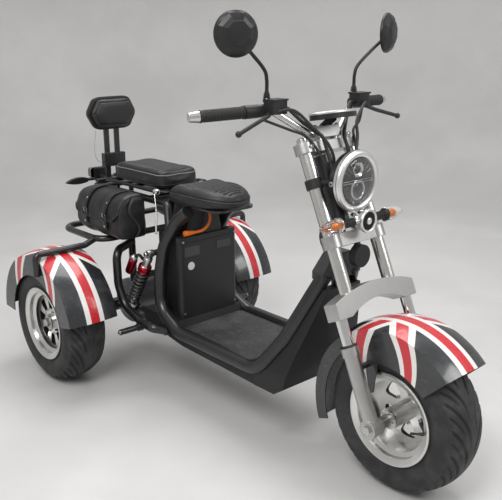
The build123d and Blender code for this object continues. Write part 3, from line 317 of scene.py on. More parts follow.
def flag_wrap(name, centre_x, centre_y, cross_angle, slant):
    """Printed wrap: a band along the crown and a saltire that meets it, on scuffed charcoal."""
    wrap = Finish(name)
    x, y, z = wrap.axes()
    along_x = x - centre_x
    across = y - centre_y
    up = z - WHEEL_Z
    radial = (along_x * along_x + up * up) ** 0.5
    turn = wrap.maths("ARCTAN2", up, along_x)
    run = (turn - radians(cross_angle)) * FENDER_R
    lateral = abs(across) + wrap.maths("MAXIMUM", FENDER_EDGE_R - radial, 0.0)
    wobble = (wrap.noise(28.0, 3.0) - 0.5) * 0.0012
    band = lateral + wobble
    leg = abs(abs(run) * sin(slant) - lateral * cos(slant)) + wobble
    red_half = 0.0172
    white_half = 0.0360
    blur = 0.0005
    on_leg_white = wrap.step(leg, white_half - blur, white_half + blur, 1.0, 0.0)
    on_leg_red = wrap.step(leg, red_half - blur, red_half + blur, 1.0, 0.0)
    on_band_white = wrap.step(band, white_half - blur, white_half + blur, 1.0, 0.0)
    on_band_red = wrap.step(band, red_half - blur, red_half + blur, 1.0, 0.0)
    scuff = wrap.step(wrap.noise(34.0, 8.0, 0.72), 0.60, 0.70)
    marks = wrap.node("Mapping", None, {"Vector": wrap.place(), "Rotation": (0.4, 0.3, 0.7), "Scale": (1, 9, 2)})
    scratch = wrap.step(wrap.noise(30.0, 3.0, 0.6, marks), 0.70, 0.74)
    ground = wrap.blend(scuff * 0.16 + scratch * 0.22, CHARCOAL, (0.34, 0.35, 0.35, 1))
    fade = wrap.noise(6.0, 4.0)
    red = wrap.blend(fade * 0.35, RED, (0.62, 0.05, 0.06, 1))
    print_face = wrap.blend(on_leg_white, ground, WHITE)
    print_face = wrap.blend(on_leg_red, print_face, red)
    print_face = wrap.blend(on_band_white, print_face, WHITE)
    print_face = wrap.blend(on_band_red, print_face, red)
    normal = wrap.node("NewGeometry", output=1)
    facing_x, facing_y, facing_z = wrap.axes(normal)
    outward = (facing_x * along_x + facing_z * up) / radial
    sideways = facing_y * wrap.maths("SIGN", across)
    outer = wrap.step(wrap.maths("MAXIMUM", outward, sideways), 0.05, 0.15)
    dust = wrap.step(wrap.noise(12.0, 6.0), 0.45, 0.8)
    wrap.set(
        Base_Color=wrap.blend(outer, grey(0.012), wrap.blend(dust * 0.06, print_face, (0.4, 0.38, 0.35, 1))),
        Roughness=0.26 + dust * 0.22 + scuff * 0.2,
        Coat_Weight=0.5,
        Coat_Roughness=0.10,
        Normal=wrap.rounded(0.0012))
    return wrap.material


def bar_grip_rubber(name):
    """Grip rubber with rows of small raised ribs."""
    grip = Finish(name)
    x, y, z = grip.axes()
    ribs = grip.maths("SINE", y * 1400.0)
    grip.set(
        Base_Color=grey(0.014),
        Roughness=0.62 + (grip.noise(40.0) - 0.5) * 0.2,
        Normal=grip.bump(ribs, 0.0006, 0.8))
    return grip.material


def worn_mat(name):
    """Deck mat: rows of short bars moulded in grey rubber, polished and dirty in patches."""
    mat = Finish(name)
    x, y, z = mat.axes()
    lane = mat.maths("FRACT", y * 90.0)
    offset = mat.maths("FRACT", (x + mat.maths("FLOOR", y * 90.0) * 0.0061) * 70.0)
    bar = mat.step(abs(lane - 0.5), 0.18, 0.34, 1.0, 0.0) * mat.step(abs(offset - 0.5), 0.28, 0.42, 1.0, 0.0)
    rub = mat.step(mat.noise(6.0, 6.0), 0.42, 0.62)
    dirt = mat.step(mat.noise(60.0, 6.0), 0.5, 0.7)
    base = mat.blend(rub, (0.035, 0.036, 0.038, 1), (0.075, 0.076, 0.080, 1))
    mat.set(
        Base_Color=mat.blend(dirt * 0.35, base, (0.14, 0.13, 0.12, 1)),
        Roughness=0.52 + rub * 0.12,
        Normal=mat.bump(bar, 0.0010, 0.7, mat.rounded(0.0015)))
    return mat.material


BLACK = enamel("black_paint", (0.010, 0.010, 0.011, 1))
SATIN = plastic("satin_black", (0.014, 0.014, 0.015, 1), 0.38)
MOULDED = plastic("moulded_black", (0.012, 0.012, 0.013, 1), 0.5)
SILVER_CAST = metal("cast_silver", (0.50, 0.50, 0.49, 1), 0.38, (1, 1, 1), 0.25, 0.0022)
SILVER_TUBE = metal("brushed_silver", (0.66, 0.65, 0.63, 1), 0.26, (1, 1, 0.06), 0.08)
CHROME = metal("chrome", (0.80, 0.80, 0.80, 1), 0.08, (1, 1, 1), 0.1)
# Dark grey brake disc: painted shade for the disc seen in shadow through the front wheel's windows.
DISC = metal("disc_steel_painted_shade", (0.10, 0.10, 0.10, 1), 0.4, (1, 1, 1), 0.3)
STEEL = metal("ground_steel", (0.55, 0.54, 0.52, 1), 0.28, (1, 1, 1), 0.3)
MOTOR = metal("motor_casting", (0.16, 0.16, 0.17, 1), 0.45, (1, 1, 1), 0.4)
TYRE = rubber("tyre_rubber", (0.016, 0.016, 0.017, 1), 0.62, 0.22)
HOSE = rubber("hose_rubber", (0.010, 0.010, 0.010, 1), 0.5, 0.1)
HIDE = leathercloth("seat_leathercloth", (0.013, 0.013, 0.014, 1))
BAG_HIDE = leathercloth("bag_leathercloth", (0.011, 0.011, 0.012, 1), 0.38, 330.0, 0.001)
GRIP = bar_grip_rubber("grip_rubber")
MAT = worn_mat("deck_mat_rubber")
ORANGE = plastic("orange_sheath", (0.78, 0.17, 0.02, 1), 0.42)
LENS_CLEAR = clear_lens("clear_lens", (0.95, 0.95, 0.95, 1))
LENS_AMBER = clear_lens("signal_lens", (0.97, 0.95, 0.93, 1), 0.03)
LENS_RED = clear_lens("tail_lens", (0.55, 0.01, 0.015, 1), 0.12)
RED_ANODISED = metal("red_anodised", (0.45, 0.015, 0.03, 1), 0.3)
# Near-black: the horn's grille, the headlight ring's line and the battery's seam have this colour; in the bolts'
# hexagon recesses it is painted shade.
BLACK_AND_RECESS_SHADE = plastic("black_and_painted_recess_shade", (0.006, 0.006, 0.006, 1), 0.6)
PIPING = rubber("seat_piping", (0.016, 0.016, 0.017, 1), 0.5, 0.1)
WORN_PIPING = rubber("worn_piping", (0.20, 0.20, 0.19, 1), 0.62, 0.5)
STRAP = leathercloth("strap_leathercloth", (0.014, 0.013, 0.013, 1), 0.36, 420.0, 0.0004)
RING_SILVER = metal("satin_ring", (0.80, 0.80, 0.79, 1), 0.36, (1, 1, 1), 0.05)
REFLECTOR = metal("reflector", (0.75, 0.75, 0.75, 1), 0.10, (1, 1, 1), 0.03)
SMOKED = metal("smoked_bowl", (0.055, 0.055, 0.06, 1), 0.14, (1, 1, 1), 0.03)
PROJECTOR = metal("projector_glass", (0.10, 0.11, 0.13, 1), 0.05, (1, 1, 1), 0.05)
BULB_AMBER = plastic("amber_bulb", (0.80, 0.20, 0.02, 1), 0.3)
MIRROR_GLASS = metal("mirror_glass", (0.55, 0.56, 0.57, 1), 0.03, (1, 1, 1), 0.03)
SPRING = enamel("spring_paint", (0.025, 0.025, 0.027, 1), 0.3, 0.3, 0.3)
PLATE = plastic("blank_plate", (0.045, 0.045, 0.048, 1), 0.35)
WHITE_DISC = plastic("white_disc", (0.62, 0.62, 0.60, 1), 0.45)
GREY_HOUSING = plastic("lamp_housing", (0.16, 0.16, 0.17, 1), 0.4)
WIRE_GREY = rubber("grey_sheath", (0.30, 0.30, 0.31, 1), 0.5, 0.2)

CAD_FINISHES = {
    "fork_legs": SILVER_CAST, "fork_brace": SILVER_CAST, "fork_stanchions": CHROME, "fork_tubes": SILVER_TUBE,
    "fork_clamps": SILVER_CAST, "bar_clamp": SILVER_CAST, "front_axle": STEEL, "handlebar": SILVER_TUBE,
    "front_rim": machined_rim("front_rim_metal", FRONT_X, 0, -1), "brake_disc": DISC,
    "rear_rim_right": machined_rim("rear_rim_right_metal", REAR_X, -TRACK_Y, -1),
    "rear_rim_left": machined_rim("rear_rim_left_metal", REAR_X, TRACK_Y, 1),
    "brake_caliper": SATIN, "front_tyre": TYRE, "rear_tyre_right": TYRE, "rear_tyre_left": TYRE,
    "deck_mat": MAT, "driver_seat": HIDE, "passenger_seat": HIDE, "backrest_pad": HIDE,
    "saddlebag_right": BAG_HIDE, "saddlebag_left": BAG_HIDE, "backrest_shell": MOULDED, "seat_rail": SATIN,
    "grips": GRIP, "controls": SATIN, "mirrors": SATIN, "display": SATIN, "headlight": SATIN,
    "headlight_lens": LENS_CLEAR, "horn": CHROME, "front_signals": LENS_AMBER, "rear_signals": SATIN,
    "tail_lamp": LENS_RED, "sounder": MOULDED, "cable_looms": HOSE, "battery_lead": ORANGE, "lead_plug": ORANGE,
    "battery_box": SATIN, "back_wire": HOSE, "leg_fairing": MOULDED, "deck_tray": MOULDED, "drive_motor": MOTOR,
    "shocks": STEEL,
}
for node_name, node_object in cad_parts.items():
    node_object.data.materials.clear()
    node_object.data.materials.append(CAD_FINISHES.get(node_name, BLACK))

for wrapped, wheel_x, wheel_y, cross_angle, slant in (
    ("front_fender", FRONT_X, 0.0, 95, radians(52)),
    ("rear_fender_right", REAR_X, -TRACK_Y, 88, radians(40)),
    ("rear_fender_left", REAR_X, TRACK_Y, 88, radians(40)),
):
    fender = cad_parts[wrapped]
    fender.data.materials.clear()
    fender.data.materials.append(flag_wrap(wrapped + "_wrap", wheel_x, wheel_y, cross_angle, slant))


# Floor, light and camera
def studio():
    """A pale floor that curves up all round, a soft world above it and three large lights."""
    concrete = Finish("pale_floor")
    patch = concrete.step(concrete.noise(1.4, 6.0), 0.35, 0.7)
    concrete.set(
        Base_Color=concrete.blend(patch, (0.56, 0.555, 0.545, 1), (0.63, 0.625, 0.615, 1)),
        Roughness=0.30 + patch * 0.2,
        Specular_IOR_Level=0.35)
    mesh = bpy.data.meshes.new("floor")
    ground = bpy.data.objects.new("floor", mesh)
    bpy.context.collection.objects.link(ground)
    builder = bmesh.new()
    section = [(0.0, 0.0), (1.2, 0.0), (2.4, 0.0), (3.6, 0.0)]
    section += [(3.6 + 1.6 * sin(radians(9 * step)), 1.6 - 1.6 * cos(radians(9 * step))) for step in range(1, 11)]
    section += [(5.2, 2.6), (5.2, 3.8)]
    rings = [[builder.verts.new((r * cos(2 * pi * k / 96), r * sin(2 * pi * k / 96), z)) for k in range(96)]
             for r, z in section[1:]]
    builder.faces.new(rings[0])
    for low, high in zip(rings, rings[1:]):
        for k in range(96):
            builder.faces.new((low[k], low[k - 1], high[k - 1], high[k]))
    for face in builder.faces:
        face.smooth = True
    builder.to_mesh(mesh)
    builder.free()
    mesh.materials.append(concrete.material)

    world = bpy.data.worlds.new("studio")
    bpy.context.scene.world = world
    world.use_nodes = True
    world.node_tree.nodes["Background"].inputs["Color"].default_value = (0.60, 0.60, 0.61, 1)
    world.node_tree.nodes["Background"].inputs["Strength"].default_value = 1.05
    for name, place, power, size in (
        ("key", (1.2, -2.4, 3.4), 85, 1.6),
        ("fill", (3.0, 1.4, 2.6), 45, 1.4),
        ("top", (-0.8, 0.6, 3.6), 60, 2.0),
    ):
        light = bpy.data.lights.new(name, "AREA")
        light.energy = power
        light.size = size
        lamp = bpy.data.objects.new(name, light)
        bpy.context.collection.objects.link(lamp)
        lamp.location = place
        lamp.rotation_euler = (Vector((0, 0, 0.5)) - Vector(place)).to_track_quat("-Z", "Y").to_euler()


def photo_camera():
    """The camera at the photograph's place, direction and focal length."""
    yaw, pitch, roll = radians(138.5285), radians(-16.1254), radians(-0.3285)
    view = Vector((cos(yaw) * cos(pitch), sin(yaw) * cos(pitch), sin(pitch)))
    data = bpy.data.cameras.new("photo_camera")
    data.sensor_width = 36.0
    data.lens = 748.79 / 502 * data.sensor_width
    camera = bpy.data.objects.new("photo_camera", data)
    bpy.context.collection.objects.link(camera)
    camera.location = at(2519.1, -1628.7, 1285.3)
    camera.rotation_mode = "QUATERNION"
    camera.rotation_quaternion = view.to_track_quat("-Z", "Y") @ Matrix.Rotation(roll, 4, "Z").to_quaternion()
    bpy.context.scene.camera = camera


studio()
photo_camera()


class Shape:
    """The mesh of one piece while it is being made, in metres."""

    def __init__(self):
        self.points = []
        self.faces = []
        self.finishes = []
        self.face_finish = []

    def add(self, points, faces, finish):
        """Adds points and faces in one finish."""
        if finish not in self.finishes:
            self.finishes.append(finish)
        first = len(self.points)
        self.points += [Vector(point) for point in points]
        self.faces += [[first + index for index in face] for face in faces]
        self.face_finish += [self.finishes.index(finish)] * len(faces)

    def skin(self, rings, finish, around=True, ends=True, ring_shut=False):
        """A skin over rings of equally many points, with its ends closed or its last ring joined to its first."""
        count = len(rings[0])
        rows = len(rings)
        faces = []
        for row in range(rows if ring_shut else rows - 1):
            after = (row + 1) % rows * count
            for col in range(count if around else count - 1):
                beside = (col + 1) % count
                faces.append((row * count + col, row * count + beside, after + beside, after + col))
        if ends and not ring_shut:
            faces.append(range(count - 1, -1, -1))
            faces.append(range((rows - 1) * count, rows * count))
        self.add([point for ring in rings for point in ring], faces, finish)

    def lathe(self, centre, axis, profile, finish, steps=48):
        """A turned form; its profile is pairs of distance along the axis and radius."""
        turn = Vector(axis).to_track_quat("Z", "Y")
        angles = [2 * pi * step / steps for step in range(steps)]
        self.skin([
            [Vector(centre) + turn @ Vector((radius * cos(a), radius * sin(a), along)) for a in angles]
            for along, radius in profile
        ], finish)

    def tube(self, path, radius, finish, steps=12):
        """A round bar along a line of points, with one radius or one for each point."""
        way = (path[1] - path[0]).normalized()
        side = way.orthogonal().normalized()
        rings = []
        for index, point in enumerate(path):
            way = (path[min(index + 1, len(path) - 1)] - path[max(index - 1, 0)]).normalized()
            side = (side - way * side.dot(way)).normalized()
            up = way.cross(side)
            reach = radius[index] if isinstance(radius, list) else radius
            rings.append([
                point + (side * cos(2 * pi * k / steps) + up * sin(2 * pi * k / steps)) * reach
                for k in range(steps)])
        self.skin(rings, finish)

    def block(self, centre, half, finish, turn=None):
        """A box with half sizes, turned by a rotation."""
        turn = turn or Matrix.Identity(3)
        corners = [(-1, -1), (1, -1), (1, 1), (-1, 1)]
        self.skin([
            [Vector(centre) + turn @ Vector((x * half[0], y * half[1], level * half[2])) for x, y in corners]
            for level in (-1, 1)
        ], finish)

    def bolt(self, centre, axis, radius, finish, height=0.005):
        """A socket-head bolt, with painted shade in its hexagon recess."""
        self.lathe(centre, axis, (
            (0, radius * 0.96), (height * 0.8, radius), (height, radius * 0.9), (height, radius * 0.62)), finish, 24)
        socket = Vector(centre) + Vector(axis).normalized() * height * 1.002
        # The hexagon recess is near-black: painted shade in the socket.
        self.lathe(socket, axis, ((0, radius * 0.55), (-height * 0.6, radius * 0.5)), BLACK_AND_RECESS_SHADE, 6)

    def piece(self, name, body, slot=None, replaced=(), bevel=0.0, angle=35, subdivide=0, thick=0.0):
        """Makes the Blender object, with its edges softened, and lets it ride on its body."""
        mesh = bpy.data.meshes.new(name)
        mesh.from_pydata(self.points, [], self.faces)
        for finish in self.finishes:
            mesh.materials.append(finish)
        mesh.polygons.foreach_set("material_index", self.face_finish)
        builder = bmesh.new()
        builder.from_mesh(mesh)
        bmesh.ops.recalc_face_normals(builder, faces=builder.faces)
        builder.to_mesh(mesh)
        builder.free()
        mesh.shade_smooth()
        mesh.set_sharp_from_angle(angle=radians(angle))
        made = bpy.data.objects.new(name, mesh)
        bpy.context.collection.objects.link(made)
        if thick:
            solid = made.modifiers.new("thickness", "SOLIDIFY")
            solid.thickness = thick
            solid.offset = 0
        if bevel:
            soften = made.modifiers.new("edges", "BEVEL")
            soften.width = bevel
            soften.segments = 2
            soften.limit_method = "ANGLE"
            soften.angle_limit = radians(40)
        if subdivide:
            finer = made.modifiers.new("finer", "SUBSURF")
            finer.levels = subdivide
            finer.render_levels = subdivide
        if replaced:
            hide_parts(*replaced)
        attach(made, body)
        return made


def by_wheel(x, y, z):
    """A point in metres from millimetres measured from the middle of the front axle."""
    return Vector((FRONT_X + x / 1000, y / 1000, WHEEL_Z + z / 1000))


def flowing(points, steps=8):
    """A smooth line through points."""
    line = []
    ends = [points[0] * 2 - points[1], *points, points[-1] * 2 - points[-2]]
    for before, first, last, after in zip(ends, ends[1:], ends[2:], ends[3:]):
        for step in range(steps):
            t = step / steps
            line.append(0.5 * (
                2 * first + (last - before) * t
                + (2 * before - 5 * first + 4 * last - after) * t ** 2
                + (3 * first - before - 3 * last + after) * t ** 3))
    return line + [points[-1]]


def eased(value, low, high):
    """A smooth step from 0 to 1 as a number goes from low to high."""
    share = min(max((value - low) / (high - low), 0), 1)
    return share * share * (3 - 2 * share)


def cut_corners(outline, rounds=3, share=0.25):
    """A closed outline with its corners cut again and again until they are round."""
    for _ in range(rounds):
        outline = [
            first.lerp(last, part)
            for first, last in zip(outline, outline[1:] + outline[:1])
            for part in (share, 1 - share)]
    return outline


# Cords come first, on the points that the part's source gives them
def cord_curve(name, points, diameter, finish, body, replaced):
    """A round cord on a smooth spline of control points."""
    data = bpy.data.curves.new(name, "CURVE")
    data.dimensions = "3D"
    data.bevel_depth = diameter / 2
    data.bevel_resolution = 5
    data.resolution_u = 16
    data.use_fill_caps = True
    data.materials.append(finish)
    spline = data.splines.new("NURBS")
    spline.points.add(len(points) - 1)
    for knot, point in zip(spline.points, points):
        knot.co = (*point, 1)
    spline.order_u = 3
    spline.use_endpoint_u = True
    made = bpy.data.objects.new(name, data)
    bpy.context.collection.objects.link(made)
    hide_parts(*replaced)
    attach(made, body)
    return made


LEAD_ROUTE = [at(*point) for point in (
    (437, 10, 693.7), (437, 10, 671), (440, 12, 648), (443, 4, 626), (443, -12, 610), (441, -34, 601.3),
    (438, -58, 601.3))]
WIRE_ROUTE = [at(*point) for point in (
    (-192, -72, 908.7), (-193, -79, 866), (-191, -84, 828), (-187, -80, 794), (-184, -67, 780),
    (-184, -54.3, 779))]

battery_lead = cord_curve("orange_lead", LEAD_ROUTE, 0.011, ORANGE, "chassis", ["battery_lead"])
lead_way = (LEAD_ROUTE[-1] - LEAD_ROUTE[-2]).normalized()
plug = Shape()
plug.lathe(LEAD_ROUTE[-1] + lead_way * 0.0003, lead_way, (
    (0, 0.0062), (0.004, 0.0075), (0.008, 0.0068), (0.012, 0.0088), (0.016, 0.0080), (0.020, 0.0092),
    (0.024, 0.0084), (0.028, 0.0106), (0.040, 0.0109), (0.0436, 0.0098), (0.0437, 0.004)), ORANGE, 28)
plug_piece = plug.piece("lead_plug_moulding", "chassis", "lead_orange", ["lead_plug"])
back_wire = cord_curve("thin_back_wire", WIRE_ROUTE, 0.0022, WIRE_GREY, "chassis", ["back_wire"])


# Soft goods: stuffed by cloth simulation, then sewn
def final_mesh(made):
    """Swaps an object's mesh for the one its modifiers make, and clears them."""
    graph = bpy.context.evaluated_depsgraph_get()
    mesh = bpy.data.meshes.new_from_object(made.evaluated_get(graph))
    made.modifiers.clear()
    made.data = mesh


def stuffed(name, shape, slot, node_name, voxel, pressure, cap, held_below):
    """A cushion: the shape is remeshed, blown up with its underside held, and made finer."""
    made = shape.piece(name, "chassis", slot, [node_name])
    remesh = made.modifiers.new("even", "REMESH")
    remesh.mode = "VOXEL"
    remesh.voxel_size = voxel
    final_mesh(made)
    rest = [point.co.copy() for point in made.data.vertices]
    held = made.vertex_groups.new(name="held")
    held.add([index for index, point in enumerate(rest) if point.z < held_below], 1.0, "REPLACE")
    cloth = made.modifiers.new("stuffing", "CLOTH")
    cloth.settings.use_pressure = True
    cloth.settings.uniform_pressure_force = pressure
    cloth.settings.effector_weights.gravity = 0
    cloth.settings.vertex_group_mass = "held"
    for moment in range(1, 21):
        bpy.context.scene.frame_set(moment)
    final_mesh(made)
    bpy.context.scene.frame_set(1)
    for point, start in zip(made.data.vertices, rest):
        move = point.co - start
        if move.length > cap:
            point.co = start + move.normalized() * cap
    relax = made.modifiers.new("relax", "SMOOTH")
    relax.iterations = 12
    finer = made.modifiers.new("finer", "SUBSURF")
    finer.levels = 1
    final_mesh(made)
    made.data.shade_smooth()
    return made


def sewn(made, depth):
    """Pulls a cushion's surface in along its seams, by a depth that a function of the point gives."""
    pulls = [point.normal * depth(point.co, point.normal) for point in made.data.vertices]
    for point, pull in zip(made.data.vertices, pulls):
        point.co -= pull


def on_skin(made, point, proud):
    """The nearest place on a cushion to a point, held proud of it."""
    found, place, normal, face = made.closest_point_on_mesh(point)
    return place + normal * proud


def channel(distance, half, depth):
    """A sewn channel's depth at a distance from its stitch line."""
    return depth * (1 - eased(abs(distance), 0, half)) ** 2


def seat_rings(outline, middle, levels):
    """Rings of a seat: each level gives a height share, how far it is pulled in, and the top's height over x."""
    rings = []
    for share, inset, base_z, top in levels:
        ring = []
        for point in outline:
            inward = Vector((middle.x - point.x, middle.y - point.y, 0))
            place = point + inward.normalized() * min(inset, inward.length * 0.9)
            ring.append(Vector((place.x, place.y, base_z + share * (top(place.x) - base_z))))
        rings.append(ring)
    return rings


def driver_outline(pull=0.0):
    """The driver's seat seen from above: a straight tail and a long round nose."""
    tail, shoulder, half = 0.353 + pull, 0.478, 0.112 - pull
    nose = 0.150 - pull
    line = [Vector((tail, y * half, 0)) for y in (-0.9, -0.45, 0, 0.45, 0.9)]
    line += [Vector((tail + (shoulder - tail) * part, half, 0)) for part in (0.08, 0.3, 0.55, 0.8)]
    line += [
        Vector((shoulder + nose * sin(pi * step / 28), half * cos(pi * step / 28), 0)) for step in range(29)]
    line += [Vector((tail + (shoulder - tail) * part, -half, 0)) for part in (0.8, 0.55, 0.3, 0.08)]
    return [Vector((REAR_X + point.x, point.y, 0)) for point in line]


def driver_top(x):
    """The height of the driver seat's top before it is stuffed."""
    ahead = (x - REAR_X - 0.470) / 0.158
    return 0.7700 - 0.014 * max(ahead, 0) ** 2 - 0.005 * min(ahead, 0) ** 2


seat_middle = Vector((REAR_X + 0.47, 0, 0))
driver = Shape()
driver.skin(seat_rings(driver_outline(), seat_middle, (
    (0.00, 0.008, 0.7086, driver_top), (0.08, 0.001, 0.7086, driver_top), (0.20, -0.001, 0.7086, driver_top),
    (0.45, 0.0010, 0.7086, driver_top),
    (0.76, 0.0040, 0.7086, driver_top), (0.92, 0.012, 0.7086, driver_top), (1.0, 0.030, 0.7086, driver_top),
    (1.0, 0.075, 0.7086, driver_top))), HIDE)
driver_seat = stuffed("driver_cushion", driver, "seat", "driver_seat", 0.0044, 4.0, 0.0040, 0.7115)


def rib_depth(first, last, spacing, half_w, taper):
    """Ribs across a seat's top: even channels between two places along it."""
    def depth(place, normal):
        along = place.x - REAR_X
        near = (along - first) / spacing
        line = round(near)
        if normal.z < 0.3 or not -0.4 < near < (last - first) / spacing + 0.4:
            return 0.0
        reach = half_w - taper * max(along - 0.47, 0) ** 2
        fade = 1 - eased(abs(place.y), reach - 0.012, reach)
        return fade * channel((near - line) * spacing, 0.0056, 0.0044)
    return depth


sewn(driver_seat, rib_depth(0.376, 0.600, 0.0140, 0.090, 3.4))


def edge_depth(level, half, depth):
    """A sewn line that runs round a seat at a height over x."""
    def pull(place, normal):
        if normal.z > 0.86 or normal.z < -0.5:
            return 0.0
        return channel(place.z - level(place.x), half, depth)
    return pull


def driver_seam(x):
    return driver_top(x) - 0.0235


sewn(driver_seat, edge_depth(driver_seam, 0.0055, 0.0028))
piping = Shape()
line = [
    on_skin(driver_seat, Vector((point.x, point.y, driver_seam(point.x))), 0.0008) for point in driver_outline(-0.004)]
piping.tube(flowing(line + line[:1], 4), 0.0017, PIPING, 8)
piping.piece("driver_seat_piping", "chassis", "seat")

passenger = Shape()
passenger_outline = cut_corners([
    Vector((REAR_X + x, y, 0)) for x, y in (
        (-0.050, -0.096), (0.118, -0.096), (0.286, -0.096), (0.286, 0), (0.286, 0.096), (0.118, 0.096),
        (-0.050, 0.096), (-0.050, 0))], 3, 0.20)


def passenger_top(x):
    """The height of the passenger seat's top before it is stuffed."""
    return 0.8000 - 0.10 * (x - REAR_X - 0.118) ** 2


passenger.skin(seat_rings(passenger_outline, Vector((REAR_X + 0.118, 0, 0)), (
    (0.00, 0.018, 0.7386, passenger_top), (0.08, 0.008, 0.7386, passenger_top), (0.18, 0.0035, 0.7386, passenger_top),
    (0.50, 0.0030, 0.7386, passenger_top), (0.86, 0.0035, 0.7386, passenger_top),
    (0.97, 0.007, 0.7386, passenger_top), (1.0, 0.018, 0.7386, passenger_top),
    (1.0, 0.070, 0.7386, passenger_top))), HIDE)
passenger_seat = stuffed("passenger_cushion", passenger, "seat", "passenger_seat", 0.0048, 4.0, 0.0040, 0.7415)
sewn(passenger_seat, rib_depth(-0.024, 0.260, 0.0142, 0.076, 0.0))


def passenger_seam(x):
    return passenger_top(x) - 0.0085


sewn(passenger_seat, edge_depth(passenger_seam, 0.005, 0.0022))
trim = Shape()
for level, finish in ((passenger_seam, WORN_PIPING), (lambda x: 0.7460, PIPING)):
    line = [
        on_skin(passenger_seat, Vector((
            REAR_X + 0.118 + (point.x - REAR_X - 0.118) * 1.02, point.y * 1.03, level(point.x))), 0.0006)
        for point in passenger_outline]
    trim.tube(flowing(line + line[:1], 2), 0.0018, finish, 8)
trim.piece("passenger_seat_piping", "chassis", "seat")


def hexagon(x, half_w, half_h, point, rounds=3, share=0.25):
    """A rounded six-sided outline at one x, pointed at its sides."""
    return cut_corners([
        Vector((x, y, 0.978 + z)) for y, z in (
            (-half_w, 0), (-half_w + point, half_h), (half_w - point, half_h), (half_w, 0),
            (half_w - point, -half_h), (-half_w + point, -half_h))], rounds, share)


BACK_X = REAR_X - 0.192
shell = Shape()
shell.skin([
    hexagon(BACK_X + x, 0.1120 + grow, 0.0640 + grow, 0.034, 3, 0.13) for x, grow in (
        (-0.0170, -0.030), (-0.0170, -0.012), (-0.0150, -0.005), (-0.0100, -0.0015), (0.0030, 0.0010),
        (0.0120, 0.0025), (0.0165, 0.0020), (0.0172, -0.002), (0.0172, -0.030))], MOULDED)
shell.piece("backrest_rounded_shell", "chassis", "black_plastic", ["backrest_shell"], subdivide=1)
back = Shape()
back.skin([
    hexagon(BACK_X + x, 0.1120 + grow, 0.0640 + grow, 0.034, 3, 0.13) for x, grow in (
        (0.0174, -0.020), (0.0176, -0.006), (0.0240, -0.0030), (0.0330, -0.0060), (0.0400, -0.018),
        (0.0450, -0.026), (0.0460, -0.045))], HIDE)
back_pad = stuffed("backrest_cushion", back, "seat", "backrest_pad", 0.0042, 4.0, 0.0040, 0.0)


def lozenge_depth(place, normal):
    """The seam round the pad's raised middle."""
    y, z = abs(place.y), abs(place.z - 0.978)
    slope = 0.034 / 0.064
    side = (0.092 - y - z * slope) / sqrt(1 + slope * slope)
    edge = min(side, 0.046 - z)
    if normal.x < 0.2:
        return 0.0
    return channel(edge, 0.0060, 0.0040)


sewn(back_pad, lozenge_depth)


# Saddlebags: stuffed bodies under flaps with straps and buckles
def bag_wall(sign, pull):
    """A bag's outline across the vehicle."""
    return [
        Vector((0, sign * (y - pull * y_way), z - pull * z_way)) for y, z, y_way, z_way in (
            (0.1155, 0.553, -1, -1), (0.1155, 0.640, -1, 0), (0.1160, 0.716, -1, 1), (0.165, 0.718, 0, 1),
            (0.208, 0.713, 0.5, 1), (0.236, 0.694, 1, 1), (0.2475, 0.655, 1, 0.3), (0.2490, 0.610, 1, 0),
            (0.2450, 0.578, 1, -0.4), (0.226, 0.554, 0.6, -1), (0.170, 0.552, 0, -1))]


